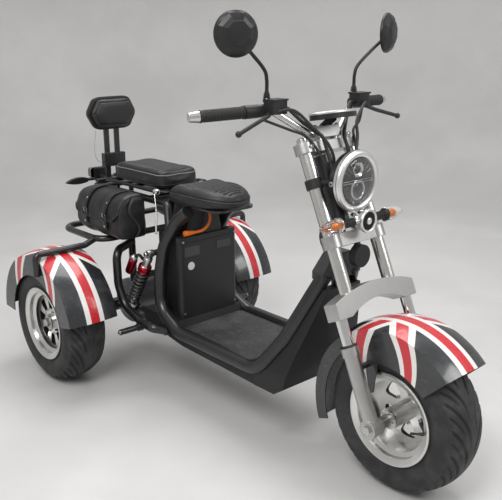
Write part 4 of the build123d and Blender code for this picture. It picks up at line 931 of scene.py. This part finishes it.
def saddlebag(side, sign):
    """One bag with its flap, straps, buckles, studs and gusset seams."""
    body = Shape()
    body.skin([
        [Vector((REAR_X + x, point.y, point.z)) for point in bag_wall(sign, pull)]
        for x, pull in (
            (-0.0800, 0.030), (-0.0795, 0.012), (-0.074, 0.004), (-0.040, 0.002), (0.075, 0.001), (0.190, 0.002),
            (0.224, 0.004), (0.2305, 0.012), (0.2312, 0.030))], BAG_HIDE)
    bag = stuffed(
        "saddlebag_body_" + side, body, "seat", "saddlebag_" + side, 0.0062, 1.4, 0.0030, 0.556)

    def folds(place, normal):
        """Gusset folds at the ends, and soft dents in the outer wall."""
        x = place.x - REAR_X
        dent = 0.0014 * sin(x * 61 + place.z * 37) * sin(place.z * 83 + 1.7)
        if abs(normal.x) > 0.6:
            return dent + channel(abs(place.y) - 0.182 - 0.02 * sin(place.z * 40), 0.010, 0.0065)
        seam = channel(min(abs(x + 0.066), abs(x - 0.217)), 0.0050, 0.0024)
        return dent * 1.3 + seam

    sewn(bag, folds)
    flap = Shape()
    rows = []
    for step in range(25):
        share = step / 24
        x = REAR_X - 0.0845 + 0.3200 * share
        corner = min(share, 1 - share) * 0.320
        drop = 0.630 + 0.030 * (1 - eased(corner, 0.0, 0.045)) - 0.006 * sin(pi * share)
        down = [(0.124, 0.735), (0.150, 0.737), (0.180, 0.735), (0.210, 0.728), (0.232, 0.716), (0.247, 0.700)]
        down += [(0.262, 0.690 + (drop - 0.690) * part) for part in (0.15, 0.35, 0.55, 0.75, 0.9, 1.0)]
        lift = 0.0028 + 0.0016 * sin(share * 19) ** 2
        rows.append([
            on_skin(bag, Vector((x, sign * y, z)), lift + 0.0030 * eased(index, 8, 12))
            for index, (y, z) in enumerate(down)])
    flap.skin(rows, BAG_HIDE, around=False, ends=False)
    flap.piece("saddlebag_flap_" + side, "chassis", "seat", thick=0.0030, subdivide=2)
    hem = Shape()
    edge = [row[-1] + Vector((0, sign * 0.0012, 0)) for row in rows]
    border = [rows[0][k] for k in range(3, 12)] + edge + [rows[-1][k] for k in range(11, 2, -1)]
    hem.tube(flowing(border, 3), 0.0019, PIPING, 8)
    hem.piece("saddlebag_hem_" + side, "chassis", "seat")
    for number, x in enumerate((0.012, 0.150)):
        strap = Shape()
        path = [(0.150, 0.740), (0.185, 0.742), (0.215, 0.735), (0.240, 0.722), (0.258, 0.700), (0.262, 0.680),
                (0.262, 0.660), (0.262, 0.640), (0.262, 0.620), (0.262, 0.600), (0.262, 0.585)]
        middle = [
            on_skin(bag, Vector((REAR_X + x, sign * y, z)), 0.0085 if z > 0.625 else 0.0060) for y, z in path]
        rings = []
        for point in flowing(middle, 3):
            out = on_skin(bag, point, 1.0) - on_skin(bag, point, 0.0)
            rings.append([
                point + Vector((across, 0, 0)) + out.normalized() * level
                for across, level in (
                    (-0.0125, -0.0012), (0.0125, -0.0012), (0.0125, 0.0010), (0.0105, 0.0018), (-0.0105, 0.0018),
                    (-0.0125, 0.0010))])
        strap.skin(rings, STRAP)
        buckle = middle[7] + Vector((0, sign * 0.0030, 0))
        ring = cut_corners([
            buckle + Vector((across, 0, level)) for across, level in (
                (-0.019, -0.014), (0.019, -0.014), (0.019, 0.014), (-0.019, 0.014))], 3, 0.2)
        strap.tube(ring + ring[:1], 0.0022, SPRING, 8)
        strap.tube([buckle + Vector((-0.019, 0, 0)), buckle + Vector((0.019, 0, 0))], 0.0016, SPRING, 8)
        strap.tube([
            buckle + Vector((0, 0, 0)), buckle + Vector((0, sign * 0.003, 0.006)),
            buckle + Vector((0, sign * 0.002, 0.014))], 0.0014, STEEL, 8)
        for level in (0.700, 0.602):
            spot = on_skin(bag, Vector((REAR_X + x, sign * 0.262, level)), 0.0086)
            strap.lathe(
                spot, (0, sign, 0), ((0, 0.0048), (0.0012, 0.0045), (0.0022, 0.0030), (0.0026, 0.0008)), STEEL, 16)
        strap.piece(f"saddlebag_strap_{side}_{number + 1}", "chassis", "seat")


saddlebag("right", -1)
saddlebag("left", 1)


# Tyres with their tread cut in
def tyre_mesh():
    """A fat road tyre round its own middle: crown, walls and long V grooves."""
    around = 612
    pitch = 2 * pi * TYRE_R / 18
    crown_r = (TREAD_HALF_W ** 2 + TREAD_DROP ** 2) / (2 * TREAD_DROP)
    sweep = asin(TREAD_HALF_W / crown_r)
    section = [(BEAD_R, BEAD_HALF_W, 0, 0.0), (0.1310, BEAD_HALF_W, 0, 0.0)]
    wall = []
    for step in range(13):
        radius = FLANGE_R + 0.0006 + (TYRE_R - TREAD_DROP - FLANGE_R - 0.0006) * step / 13
        low = (radius - 0.1406) / 0.0694
        bulge = BEAD_HALF_W + 0.0030 * low + 0.0540 * low * (1 - low)
        ridge = 0.0007 if step in (2, 9, 10) else 0.0
        wall.append((radius, bulge + ridge, 0, 0.0))
    section += wall
    rows = 60
    for step in range(rows + 1):
        turn = sweep * (1 - 2 * step / rows)
        section.append((TYRE_R - crown_r + crown_r * cos(turn), crown_r * sin(turn), 1, turn))
    section += [(radius, -y, 0, 0.0) for radius, y, tread, turn in reversed(section[:len(wall) + 2])]

    def cut(place, across):
        """How deep the tread is at a place round the tyre and across it."""
        lateral = abs(across)
        u = (lateral - 0.007) / 0.064
        if u <= 0.0:
            return 0.0
        shift = pitch / 2 if across < 0 else 0.0
        slope = 1.35 / sqrt(u)
        line = 0.170 * sqrt(u)
        depth = 0.0
        for offset, width, deep, starts in ((0.0, 0.0040, 0.0062, 0.03), (pitch / 2, 0.0030, 0.0042, 0.40)):
            gap = (place - line - shift - offset + pitch / 2) % pitch - pitch / 2
            near = abs(gap) / sqrt(1 + slope * slope)
            depth = max(depth, deep * (1 - eased(near, width * 0.55, width * 1.25)) * eased(u, starts, starts + 0.12))
        return depth * (1 - 0.55 * eased(lateral, 0.066, 0.071))

    rings = []
    for radius, y, tread, turn in section:
        ring = []
        for step in range(around):
            angle = 2 * pi * step / around
            depth = cut(angle * TYRE_R, y) if tread else 0.0
            reach = radius - depth * cos(turn)
            ring.append((reach * cos(angle), y - depth * sin(turn), reach * sin(angle)))
        rings.append(ring)
    shape = Shape()
    shape.skin(rings, TYRE, ring_shut=True)
    for sign in (-1, 1):
        for radius, bulge in ((0.1640, 0.0803), (0.1865, 0.0819)):
            loop = [
                Vector((radius * cos(a), sign * bulge, radius * sin(a))) for a in (2 * pi * k / 96 for k in range(97))]
            shape.tube(loop, 0.0009, TYRE, 6)
    return shape


tyre_shape = tyre_mesh()
first_tyre = None
for tyre_name, body, wheel_x, wheel_y in (
    ("front_tyre", "front_wheel", FRONT_X, 0), ("rear_tyre_right", "rear_wheel_right", REAR_X, -TRACK_Y),
    ("rear_tyre_left", "rear_wheel_left", REAR_X, TRACK_Y),
):
    if first_tyre is None:
        tyre = tyre_shape.piece(tyre_name + "_treaded", body, "tyre", [tyre_name], angle=50)
        first_tyre = tyre
    else:
        tyre = bpy.data.objects.new(tyre_name + "_treaded", first_tyre.data)
        bpy.context.collection.objects.link(tyre)
        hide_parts(tyre_name)
        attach(tyre, body)
    tyre.matrix_world = Matrix.Translation((wheel_x, wheel_y, WHEEL_Z))

# Wheel hubs: nuts, bolt circles and valves
for hub_name, body, wheel_x, wheel_y, face_y, sign in (
    ("front_hub_trim", "front_wheel", FRONT_X, 0, -0.0725, -1),
    ("rear_hub_trim_right", "rear_wheel_right", REAR_X, -TRACK_Y, -0.0485, -1),
    ("rear_hub_trim_left", "rear_wheel_left", REAR_X, TRACK_Y, 0.0485, 1),
):
    hub = Shape()
    spot = Vector((wheel_x, wheel_y + face_y, WHEEL_Z))
    way = (0, sign, 0)
    hub.lathe(
        spot, way, ((0, 0.0125), (0.0022, 0.0275), (0.0030, 0.0275), (0.0036, 0.0262), (0.0036, 0.0120)), STEEL, 40)
    for number in range(5):
        turn = 2 * pi * number / 5
        hub.bolt(spot + Vector((0.0205 * cos(turn), sign * 0.0034, 0.0205 * sin(turn))), way, 0.0040, STEEL, 0.004)
    dish = Vector((wheel_x, wheel_y + (0.0230 if abs(wheel_y) < 0.1 else sign * 0.0372), WHEEL_Z))
    windows = 6 if abs(wheel_y) < 0.1 else 8
    for number in range(windows):
        turn = 2 * pi * (number + 0.5) / windows
        hub.bolt(dish + Vector((0.046 * cos(turn), 0, 0.046 * sin(turn))), way, 0.0055, STEEL, 0.005)
    valve = Vector((wheel_x + 0.1135, wheel_y + face_y * 0.9 + sign * 0.006, WHEEL_Z))
    hub.lathe(valve, (-0.75, sign * 0.65, 0), (
        (-0.006, 0.0050), (0.004, 0.0048), (0.010, 0.0032), (0.020, 0.0030), (0.021, 0.0040), (0.030, 0.0038),
        (0.032, 0.0022)), HOSE, 14)
    hub.piece(hub_name, body, "steel")

# Headlight: ring, reflector, projector and glass in front of the bucket
lamp = by_wheel(-219, 0, 647)
AHEAD = (1, 0, 0)
ring = Shape()
ring.lathe(lamp, AHEAD, (
    (0.0004, 0.0720), (0.0004, 0.0895), (0.0120, 0.0900), (0.0165, 0.0890), (0.0195, 0.0862), (0.0212, 0.0815),
    (0.0210, 0.0760), (0.0190, 0.0715), (0.0150, 0.0690), (0.0080, 0.0684)), RING_SILVER, 96)
ring.lathe(lamp, AHEAD, ((0.0090, 0.0898), (0.0095, 0.0903), (0.0106, 0.0903), (0.0111, 0.0898)), BLACK_AND_RECESS_SHADE, 96)
ring.piece("headlight_ring", "steering", "silver", ["headlight_lens"], angle=60)
bowl = Shape()
bowl.lathe(lamp, AHEAD, (
    (0.0030, 0.0240), (0.0035, 0.0300), (0.0050, 0.0420), (0.0080, 0.0560), (0.0120, 0.0650), (0.0160, 0.0690),
    (0.0150, 0.0700), (0.0020, 0.0700), (0.0010, 0.0240)), SMOKED, 72)
for level in (-0.0035, 0.0035):
    bowl.block(lamp + Vector((0.0125, 0, 0.0005 + level)), (0.0022, 0.0630, 0.0007), RING_SILVER)
for number in range(9):
    turn = radians(30 + 15 * number)
    bowl.block(
        lamp + Vector((0.0105, 0.050 * cos(turn), 0.050 * sin(turn))), (0.0030, 0.0007, 0.0125), REFLECTOR,
        Matrix.Rotation(pi / 2 - turn, 3, "X").inverted())
bowl.lathe(lamp + Vector((0, 0, -0.024)), AHEAD, (
    (0.0020, 0.0300), (0.0145, 0.0300), (0.0160, 0.0285), (0.0160, 0.0250), (0.0120, 0.0225)), REFLECTOR, 56)
bowl.lathe(lamp + Vector((0, 0, -0.024)), AHEAD, (
    (0.0110, 0.0226), (0.0140, 0.0215), (0.0172, 0.0180), (0.0192, 0.0120), (0.0200, 0.0050), (0.0201, 0.0010)),
    PROJECTOR, 48)
bowl.lathe(lamp + Vector((0, 0, 0.034)), AHEAD, (
    (0.0030, 0.0250), (0.0150, 0.0240), (0.0155, 0.0215), (0.0095, 0.0110), (0.0080, 0.0010)), REFLECTOR, 6)
bowl.piece("headlight_reflector", "steering", "silver", bevel=0.0003)
glass = Shape()
glass.lathe(lamp, AHEAD, (
    (0.0165, 0.0694), (0.0185, 0.0690), (0.0215, 0.0620), (0.0240, 0.0480), (0.0258, 0.0300), (0.0266, 0.0120),
    (0.0268, 0.0010), (0.0256, 0.0010), (0.0254, 0.0120), (0.0246, 0.0300), (0.0228, 0.0480), (0.0204, 0.0610),
    (0.0172, 0.0680)), LENS_CLEAR, 72)
glass.piece("headlight_glass", "steering", "lens_clear", angle=70)
bucket = Shape()
for sign in (-1, 1):
    bucket.bolt(by_wheel(-228, sign * 84, 647), (0, sign, 0), 0.0075, STEEL, 0.006)
for number in range(3):
    turn = radians(90 + 120 * number)
    bucket.bolt(
        lamp + Vector((0.0130, 0.0902 * cos(turn), 0.0902 * sin(turn))), (0, cos(turn), sin(turn)), 0.0028, STEEL,
        0.0022)
bucket.piece("headlight_screws", "steering", "steel")

# Horn: bright ring, dark ribbed grille and a bright dot
horn = Shape()
mouth = by_wheel(-161, 0, 539)
horn.lathe(mouth, AHEAD, (
    (-0.0120, 0.0322), (-0.0060, 0.0345), (0.0010, 0.0350), (0.0042, 0.0335), (0.0050, 0.0300), (0.0030, 0.0270),
    (0.0004, 0.0262), (0.0003, 0.0010)), RING_SILVER, 64)
horn.lathe(mouth, AHEAD, (
    (0.0004, 0.0262), (0.0016, 0.0260), (0.0028, 0.0245), (0.0016, 0.0225), (0.0030, 0.0205), (0.0018, 0.0185),
    (0.0033, 0.0165), (0.0020, 0.0145), (0.0036, 0.0125), (0.0024, 0.0105), (0.0024, 0.0010)), BLACK_AND_RECESS_SHADE, 64)
horn.lathe(mouth, AHEAD, (
    (0.0022, 0.0100), (0.0050, 0.0095), (0.0066, 0.0070), (0.0072, 0.0030), (0.0073, 0.0008)), RING_SILVER, 40)
for number in range(20):
    turn = 2 * pi * number / 20
    horn.block(
        mouth + Vector((0.0026, 0.0184 * cos(turn), 0.0184 * sin(turn))), (0.0010, 0.0006, 0.0078), BLACK_AND_RECESS_SHADE,
        Matrix.Rotation(pi / 2 - turn, 3, "X").inverted())
horn.piece("horn_mouth", "steering", "silver", angle=40)

# Front signals: ribbed sleeves, amber bulbs and faceted clear covers
signals = Shape()
covers = Shape()
for sign in (-1, 1):
    root = by_wheel(-181, sign * 44, 539)
    way = Vector((0, sign, 0))
    ribs = []
    for rib in range(6):
        ribs += [(0.008 * rib, 0.0128), (0.008 * rib + 0.004, 0.0128), (0.008 * rib + 0.0045, 0.0105),
                 (0.008 * rib + 0.0075, 0.0105)]
    signals.lathe(root, way, [
        (-0.001, 0.0095), *ribs, (0.049, 0.0150), (0.0520, 0.0185), (0.0560, 0.0195), (0.0562, 0.010)], HOSE, 28)
    bulb = by_wheel(-181, sign * 101, 539)
    signals.lathe(bulb, way, (
        (0.004, 0.0050), (0.012, 0.0052), (0.014, 0.0068), (0.022, 0.0074), (0.030, 0.0062), (0.036, 0.0030),
        (0.0375, 0.0006)), BULB_AMBER, 24)
    signals.lathe(bulb, way, ((-0.0012, 0.0182), (0.0015, 0.0170), (0.0030, 0.0110), (0.0032, 0.0090)), REFLECTOR, 28)
    facets = []
    for along, wide, tall in (
        (0.0968, 0.0200, 0.0220), (0.1060, 0.0208, 0.0222), (0.1180, 0.0206, 0.0216), (0.1320, 0.0194, 0.0200),
        (0.1460, 0.0170, 0.0172), (0.1600, 0.0132, 0.0132), (0.1720, 0.0088, 0.0088), (0.1795, 0.0030, 0.0030),
    ):
        facets.append([
            Vector((by_wheel(-181, 0, 0).x + wide * cos(a), sign * along, WHEEL_Z + 0.539 + tall * sin(a)))
            for a in (2 * pi * k / 14 for k in range(14))])
    covers.skin(facets, LENS_AMBER)
signals.piece("signal_sleeves_and_bulbs", "steering", "lens_orange")
covers.piece("signal_covers", "steering", "lens_orange", ["front_signals"], angle=12)

# Mirrors: faceted backs, rims, glass, stalks and ribbed boots
mirrors = Shape()
for sign in (-1, 1):
    middle = by_wheel(-369, sign * 312, 1055)
    face = Vector((cos(radians(22)), sign * sin(radians(22)), 0))
    mirrors.lathe(middle, face, (
        (-0.0078, 0.0540), (-0.0078, 0.0585), (-0.0070, 0.0604), (-0.0050, 0.0610), (0.0000, 0.0608),
        (0.0035, 0.0590)), SATIN, 64)
    turn = face.to_track_quat("Z", "Y")
    octagons = []
    for along, radius, sides in (
        (0.0030, 0.0595, 0.25), (0.0100, 0.0545, 0.75), (0.0165, 0.0450, 1.0), (0.0170, 0.0435, 1.0),
        (0.0205, 0.0345, 1.0), (0.0225, 0.0330, 1.0), (0.0236, 0.0200, 1.0),
    ):
        loop = []
        for step in range(64):
            angle = 2 * pi * step / 64
            wedge = (angle + pi / 8) % (pi / 4) - pi / 8
            reach = radius * (1 - sides + sides * cos(pi / 8) / cos(wedge) * 1.02)
            loop.append(middle + turn @ Vector((reach * cos(angle), reach * sin(angle), along)))
        octagons.append(loop)
    mirrors.skin(octagons, SATIN)
    mirrors.lathe(middle, -face, (
        (0.0060, 0.0545), (0.0070, 0.0543), (0.0072, 0.0535), (0.0072, 0.0010)), MIRROR_GLASS, 64)
    foot = by_wheel(-390.6, sign * 183.9, 871.5)
    stalk = flowing([
        foot, foot + Vector((0, 0, 0.030)), foot + Vector((0.0008, sign * 0.0008, 0.060)),
        foot + Vector((0.0030, sign * 0.0120, 0.088)), foot + Vector((0.010, sign * 0.060, 0.128)),
        by_wheel(-371, sign * 305, 1044)], 8)
    mirrors.tube(stalk, 0.0052, SATIN, 16)
    boot = [(-0.002, 0.0095)]
    for rib in range(5):
        boot += [(0.0050 * rib, 0.0118 - 0.0007 * rib), (0.0050 * rib + 0.0028, 0.0118 - 0.0007 * rib),
                 (0.0050 * rib + 0.0032, 0.0098 - 0.0007 * rib), (0.0050 * rib + 0.0046, 0.0098 - 0.0007 * rib)]
    mirrors.lathe(foot, (0, 0, 1), [*boot, (0.0290, 0.0062)], HOSE, 28)
    mirrors.lathe(stalk[-1] - face * 0.001, -face, (
        (-0.012, 0.0125), (0.001, 0.0125), (0.004, 0.0085), (0.0042, 0.001)), SATIN, 24)
mirrors.piece("mirrors_faceted", "steering", "black_plastic", ["mirrors"], angle=14)

# Shocks: eyes, bodies, springs, red collars and canisters
shocks = Shape()
for sign in (-1, 1):
    top = at(312, sign * 170, 516)
    foot = at(158, sign * 170, 264)
    down = (foot - top).normalized()
    reach = (foot - top).length
    for eye in (top, foot):
        shocks.lathe(eye - Vector((0, 0.0130, 0)), (0, 1, 0), (
            (0, 0.0085), (0, 0.0132), (0.0015, 0.0140), (0.0245, 0.0140), (0.0260, 0.0132), (0.0260, 0.0085)),
            STEEL, 32)
    shocks.lathe(top, down, (
        (0.011, 0.0075), (0.016, 0.0110), (0.020, 0.0165), (0.034, 0.0172), (0.036, 0.0150), (0.060, 0.0150),
        (0.062, 0.0172), (0.066, 0.0172), (0.066, 0.0120)), STEEL, 40)
    shocks.lathe(top, down, (
        (0.064, 0.0150), (0.064, 0.0236), (0.066, 0.0250), (0.076, 0.0250), (0.078, 0.0235), (0.080, 0.0235),
        (0.082, 0.0250), (0.086, 0.0250), (0.088, 0.0225), (0.088, 0.0150)), RED_ANODISED, 48)
    shocks.lathe(top, down, (
        (0.086, 0.0160), (0.170, 0.0160), (0.170, 0.0100), (reach * 0.88, 0.0100), (reach * 0.88, 0.005)), CHROME, 36)
    shocks.lathe(top, down, (
        (reach * 0.855, 0.0120), (reach * 0.855, 0.0240), (reach * 0.865, 0.0250), (reach * 0.90, 0.0250),
        (reach * 0.92, 0.0180), (reach * 0.965, 0.0110), (reach * 0.965, 0.006)), STEEL, 48)
    side = down.orthogonal().normalized()
    cross = down.cross(side)
    turns = 8.6
    coil = []
    for step in range(260):
        share = step / 259
        angle = 2 * pi * turns * share
        closer = 0.012 * (1 - 2 * share) * (eased(abs(share - 0.5), 0.38, 0.5))
        along = 0.0915 + (reach * 0.850 - 0.0955) * share - closer * 0.3
        coil.append(top + down * along + (side * cos(angle) + cross * sin(angle)) * 0.0205)
    shocks.tube(coil, 0.0044, SPRING, 10)
    low = top + Vector((-0.100, sign * 0.022, -0.070))
    shocks.lathe(low, -down, (
        (-0.024, 0.0090), (-0.0225, 0.0145), (-0.019, 0.0165), (0.040, 0.0165), (0.041, 0.0140)), RED_ANODISED, 40)
    shocks.lathe(low, -down, (
        (0.0405, 0.0128), (0.042, 0.0140), (0.056, 0.0140), (0.060, 0.0128), (0.0635, 0.0090), (0.064, 0.0030)),
        STEEL, 40)
    shocks.tube(flowing([
        low - down * 0.052, low - down * 0.060 + Vector((0.030, 0, 0.010)),
        top + down * 0.042 + Vector((-0.022, 0, 0.004)), top + down * 0.034], 8), 0.0058, HOSE, 14)
shocks.piece("shocks_with_springs", "chassis", "shock", ["shocks"], angle=40)

# Deck mat's rows of short bars
mat_bars = Shape()
for row in range(27):
    for col in range(21):
        x = REAR_X + 0.4690 + 0.01440 * row + (0.0036 if col % 2 else -0.0036)
        y = -0.1300 + 0.0130 * col
        mat_bars.skin([
            [Vector((x + a * half_x, y + b * half_y, level)) for a, b in ((-1, -1), (1, -1), (1, 1), (-1, 1))]
            for half_x, half_y, level in ((0.0050, 0.0030, 0.2600), (0.0040, 0.0021, 0.2616))], MAT)
border = cut_corners([
    Vector((REAR_X + x, y, 0.2606)) for x, y in (
        (0.4615, -0.1370), (0.8575, -0.1370), (0.8575, 0.1370), (0.4615, 0.1370))], 3, 0.06)
mat_bars.tube(border + border[:1], 0.0014, MAT, 8)
mat_bars.piece("deck_mat_bars", "chassis", "black_plastic")

# Battery: cover seam, screws and blank plates
battery = Shape()
front_face = REAR_X + 0.446
battery.block((front_face + 0.0004, -0.078, 0.536), (0.0006, 0.033, 0.018), PLATE)
battery.block((front_face + 0.0004, 0.068, 0.540), (0.0006, 0.033, 0.014), PLATE)
battery.lathe((front_face + 0.0002, -0.084, 0.482), AHEAD, (
    (0, 0.0150), (0.0010, 0.0150), (0.0011, 0.0130)), WHITE_DISC, 40)
for y in (-0.118, 0.118):
    for z in (0.305, 0.575):
        battery.bolt((front_face, y, z), AHEAD, 0.0040, STEEL, 0.0030)
seam = cut_corners([
    Vector((REAR_X + x, y, 0.5700)) for x, y in (
        (0.4464, -0.1304), (0.4464, 0.1304), (0.4096, 0.1304), (0.4096, -0.1304))], 3, 0.12)
battery.tube(seam + seam[:1], 0.0011, BLACK_AND_RECESS_SHADE, 6)
battery.piece("battery_trim", "chassis", "black_plastic", bevel=0.0003)

# Bolts where tubes, pegs, clamps and axles meet
chassis_bolts = Shape()
steering_bolts = Shape()
for sign in (-1, 1):
    way = (0, sign, 0)
    chassis_bolts.bolt(at(298, sign * 305, 240), way, 0.0080, STEEL, 0.0055)
    chassis_bolts.bolt(at(312, sign * 187, 516), way, 0.0095, STEEL, 0.0065)
    chassis_bolts.bolt(at(158, sign * 187, 264), way, 0.0095, STEEL, 0.0065)
    chassis_bolts.lathe(at(0, sign * 449, 230), way, (
        (-0.012, 0.0165), (0.0, 0.0160), (0.002, 0.0140), (0.002, 0.006)), STEEL, 6)
    steering_bolts.lathe(by_wheel(0, sign * 167, 0), way, (
        (0, 0.0200), (0.0015, 0.0200), (0.0016, 0.0150), (0.0075, 0.0145), (0.0085, 0.0120), (0.0086, 0.006)), STEEL, 6)
    steering_bolts.bolt(on_fork(0.0292, sign * 0.096, 0.805), FORK_AHEAD, 0.0060, STEEL, 0.006)
    steering_bolts.bolt(on_fork(0.0, sign * 0.096, 0.834), FORK_UP, 0.0125, STEEL, 0.004)
    for y in (0.020, 0.046):
        steering_bolts.bolt(
            by_wheel(-339, 0, 774) + FORK_UP * 0.0170 + FORK_AHEAD * 0.012 + Vector((0, sign * y, 0)), FORK_UP, 0.0055,
            STEEL, 0.005)
    steering_bolts.lathe(on_fork(0.0, sign * 0.145, 0.2325), FORK_UP, (
        (0, 0.0255), (0.003, 0.0250), (0.006, 0.0215), (0.0065, 0.0175)), HOSE, 40)
chassis_bolts.piece("chassis_bolts", "chassis", "steel")
steering_bolts.piece("steering_bolts", "steering", "steel")

# Display: a bright rim round a dark oval glass
display = Shape()
up = Vector((-sin(radians(10)), 0, cos(radians(10))))
across = Vector((0, 1, 0))
forward = across.cross(up)
middle = by_wheel(-305, 0, 818)


def oval(half_y, half_x, level):
    """An oval ring of the display at a height over its foot."""
    return [
        middle + across * half_y * cos(a) + forward * half_x * sin(a) + up * level
        for a in (2 * pi * k / 72 for k in range(72))]


display.skin([
    oval(0.0800, 0.0520, 0.0125), oval(0.0828, 0.0548, 0.0150), oval(0.0828, 0.0548, 0.0190),
    oval(0.0800, 0.0520, 0.0212), oval(0.0745, 0.0465, 0.0216), oval(0.0728, 0.0448, 0.0202)], RING_SILVER)
display.skin([
    oval(0.0730, 0.0450, 0.0200), oval(0.0715, 0.0435, 0.0210), oval(0.0500, 0.0300, 0.0222),
    oval(0.0010, 0.0008, 0.0226)], MIRROR_GLASS)
display.piece("display_rim", "steering", "black_plastic", angle=40)

# Hoses and cables from the controls down behind the headlight
hoses = Shape()
for sign in (-1, 1):
    for run, radius in (
        (((-352, 196, 846), (-318, 150, 850), (-300, 98, 806), (-268, 66, 760), (-258, 46, 712), (-268, 40, 660)),
         0.0046),
        (((-380, 214, 826), (-336, 150, 796), (-318, 104, 776), (-292, 84, 742), (-270, 66, 690), (-262, 58, 640)),
         0.0040),
    ):
        hoses.tube(flowing([by_wheel(x, sign * y, z) for x, y, z in run], 8), radius, HOSE, 12)
hoses.piece("control_hoses", "steering", "black_plastic")

# Tail lamp: a grey housing round the red lens
tail = Shape()
tail_x = REAR_X - 0.3073
tail.skin([
    [Vector((tail_x + x, y * (0.042 + grow), 0.716 + z * (0.021 + grow))) for y, z in (
        (-1, -0.6), (-0.8, -1), (0.8, -1), (1, -0.6), (1, 0.6), (0.8, 1), (-0.8, 1), (-1, 0.6))]
    for x, grow in ((0.0000, 0.0020), (-0.0100, 0.0025), (-0.0120, 0.0010), (-0.0118, -0.0010))], GREY_HOUSING)
tail.piece("tail_lamp_housing", "chassis", "black_plastic", bevel=0.001)

# Grips' end flanges and the levers' pivots
cockpit = Shape()
BAR_WAY = Vector((-0.062, 0.208, -0.008)).normalized()
for sign in (-1, 1):
    way = Vector((BAR_WAY.x, sign * BAR_WAY.y, BAR_WAY.z))
    root = by_wheel(-387, sign * 172, 848)
    for distance, radius in ((0.0865, 0.0185), (0.2130, 0.0180)):
        cockpit.lathe(root + way * (distance - 0.0018), way, (
            (0, radius - 0.003), (0.0006, radius), (0.0034, radius), (0.0040, radius - 0.003)), HOSE, 40)
    for ring_number in range(16):
        distance = 0.0960 + 0.0068 * ring_number
        cockpit.lathe(root + way * distance, way, (
            (0, 0.0160), (0.0008, 0.0173), (0.0030, 0.0173), (0.0038, 0.0160)), GRIP, 36)
    tank = by_wheel(-360.6, sign * 176.9, 865.5)
    cockpit.block(tank + Vector((0, 0, 0.0132)), (0.0222, 0.0285, 0.0024), SATIN)
    for x, y in ((-0.016, -0.021), (0.016, 0.021)):
        cockpit.bolt(tank + Vector((x, y, 0.0154)), (0, 0, 1), 0.0028, STEEL, 0.0018)
    cockpit.bolt(tank + Vector((0.0120, sign * 0.018, -0.0120)), (0, 0, -1), 0.0060, STEEL, 0.004)
cockpit.piece("grip_ribs_and_lids", "steering", "grip", bevel=0.0006)

# Seat rail knobs and the thin struts from them to the rails
struts = Shape()
for sign in (-1, 1):
    knob = at(272, sign * 104, 730.7)
    struts.lathe(knob - Vector((0.0105, 0, 0)), AHEAD, (
        (0.0, 0.0080), (0.004, 0.0118), (0.011, 0.0130), (0.018, 0.0112), (0.0215, 0.0060), (0.0220, 0.0015)),
        CHROME, 36)
    foot = at(328, sign * 150, 590)
    struts.tube([knob + Vector((0.002, sign * 0.010, -0.006)), knob.lerp(foot, 0.45), foot], 0.0022, SILVER_TUBE, 12)
    struts.tube([knob.lerp(foot, 0.5), foot], 0.0040, SILVER_CAST, 14)
struts.piece("seat_knobs_and_struts", "chassis", "chrome")

# Leg fairing with softened edges
fairing_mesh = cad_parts["leg_fairing"].data
builder = bmesh.new()
builder.from_mesh(fairing_mesh)
bmesh.ops.remove_doubles(builder, verts=builder.verts, dist=0.00001)
bmesh.ops.dissolve_limit(
    builder, angle_limit=radians(1), verts=builder.verts, edges=builder.edges, delimit={"NORMAL"})
builder.verts.index_update()
fairing = Shape()
fairing.add(
    [corner.co for corner in builder.verts],
    [[corner.index for corner in face.verts] for face in builder.faces], MOULDED)
builder.free()
fairing.piece("leg_fairing_softened", "chassis", "black_paint", ["leg_fairing"], bevel=0.009, angle=50)

bpy.context.scene.view_settings.view_transform = "Standard"
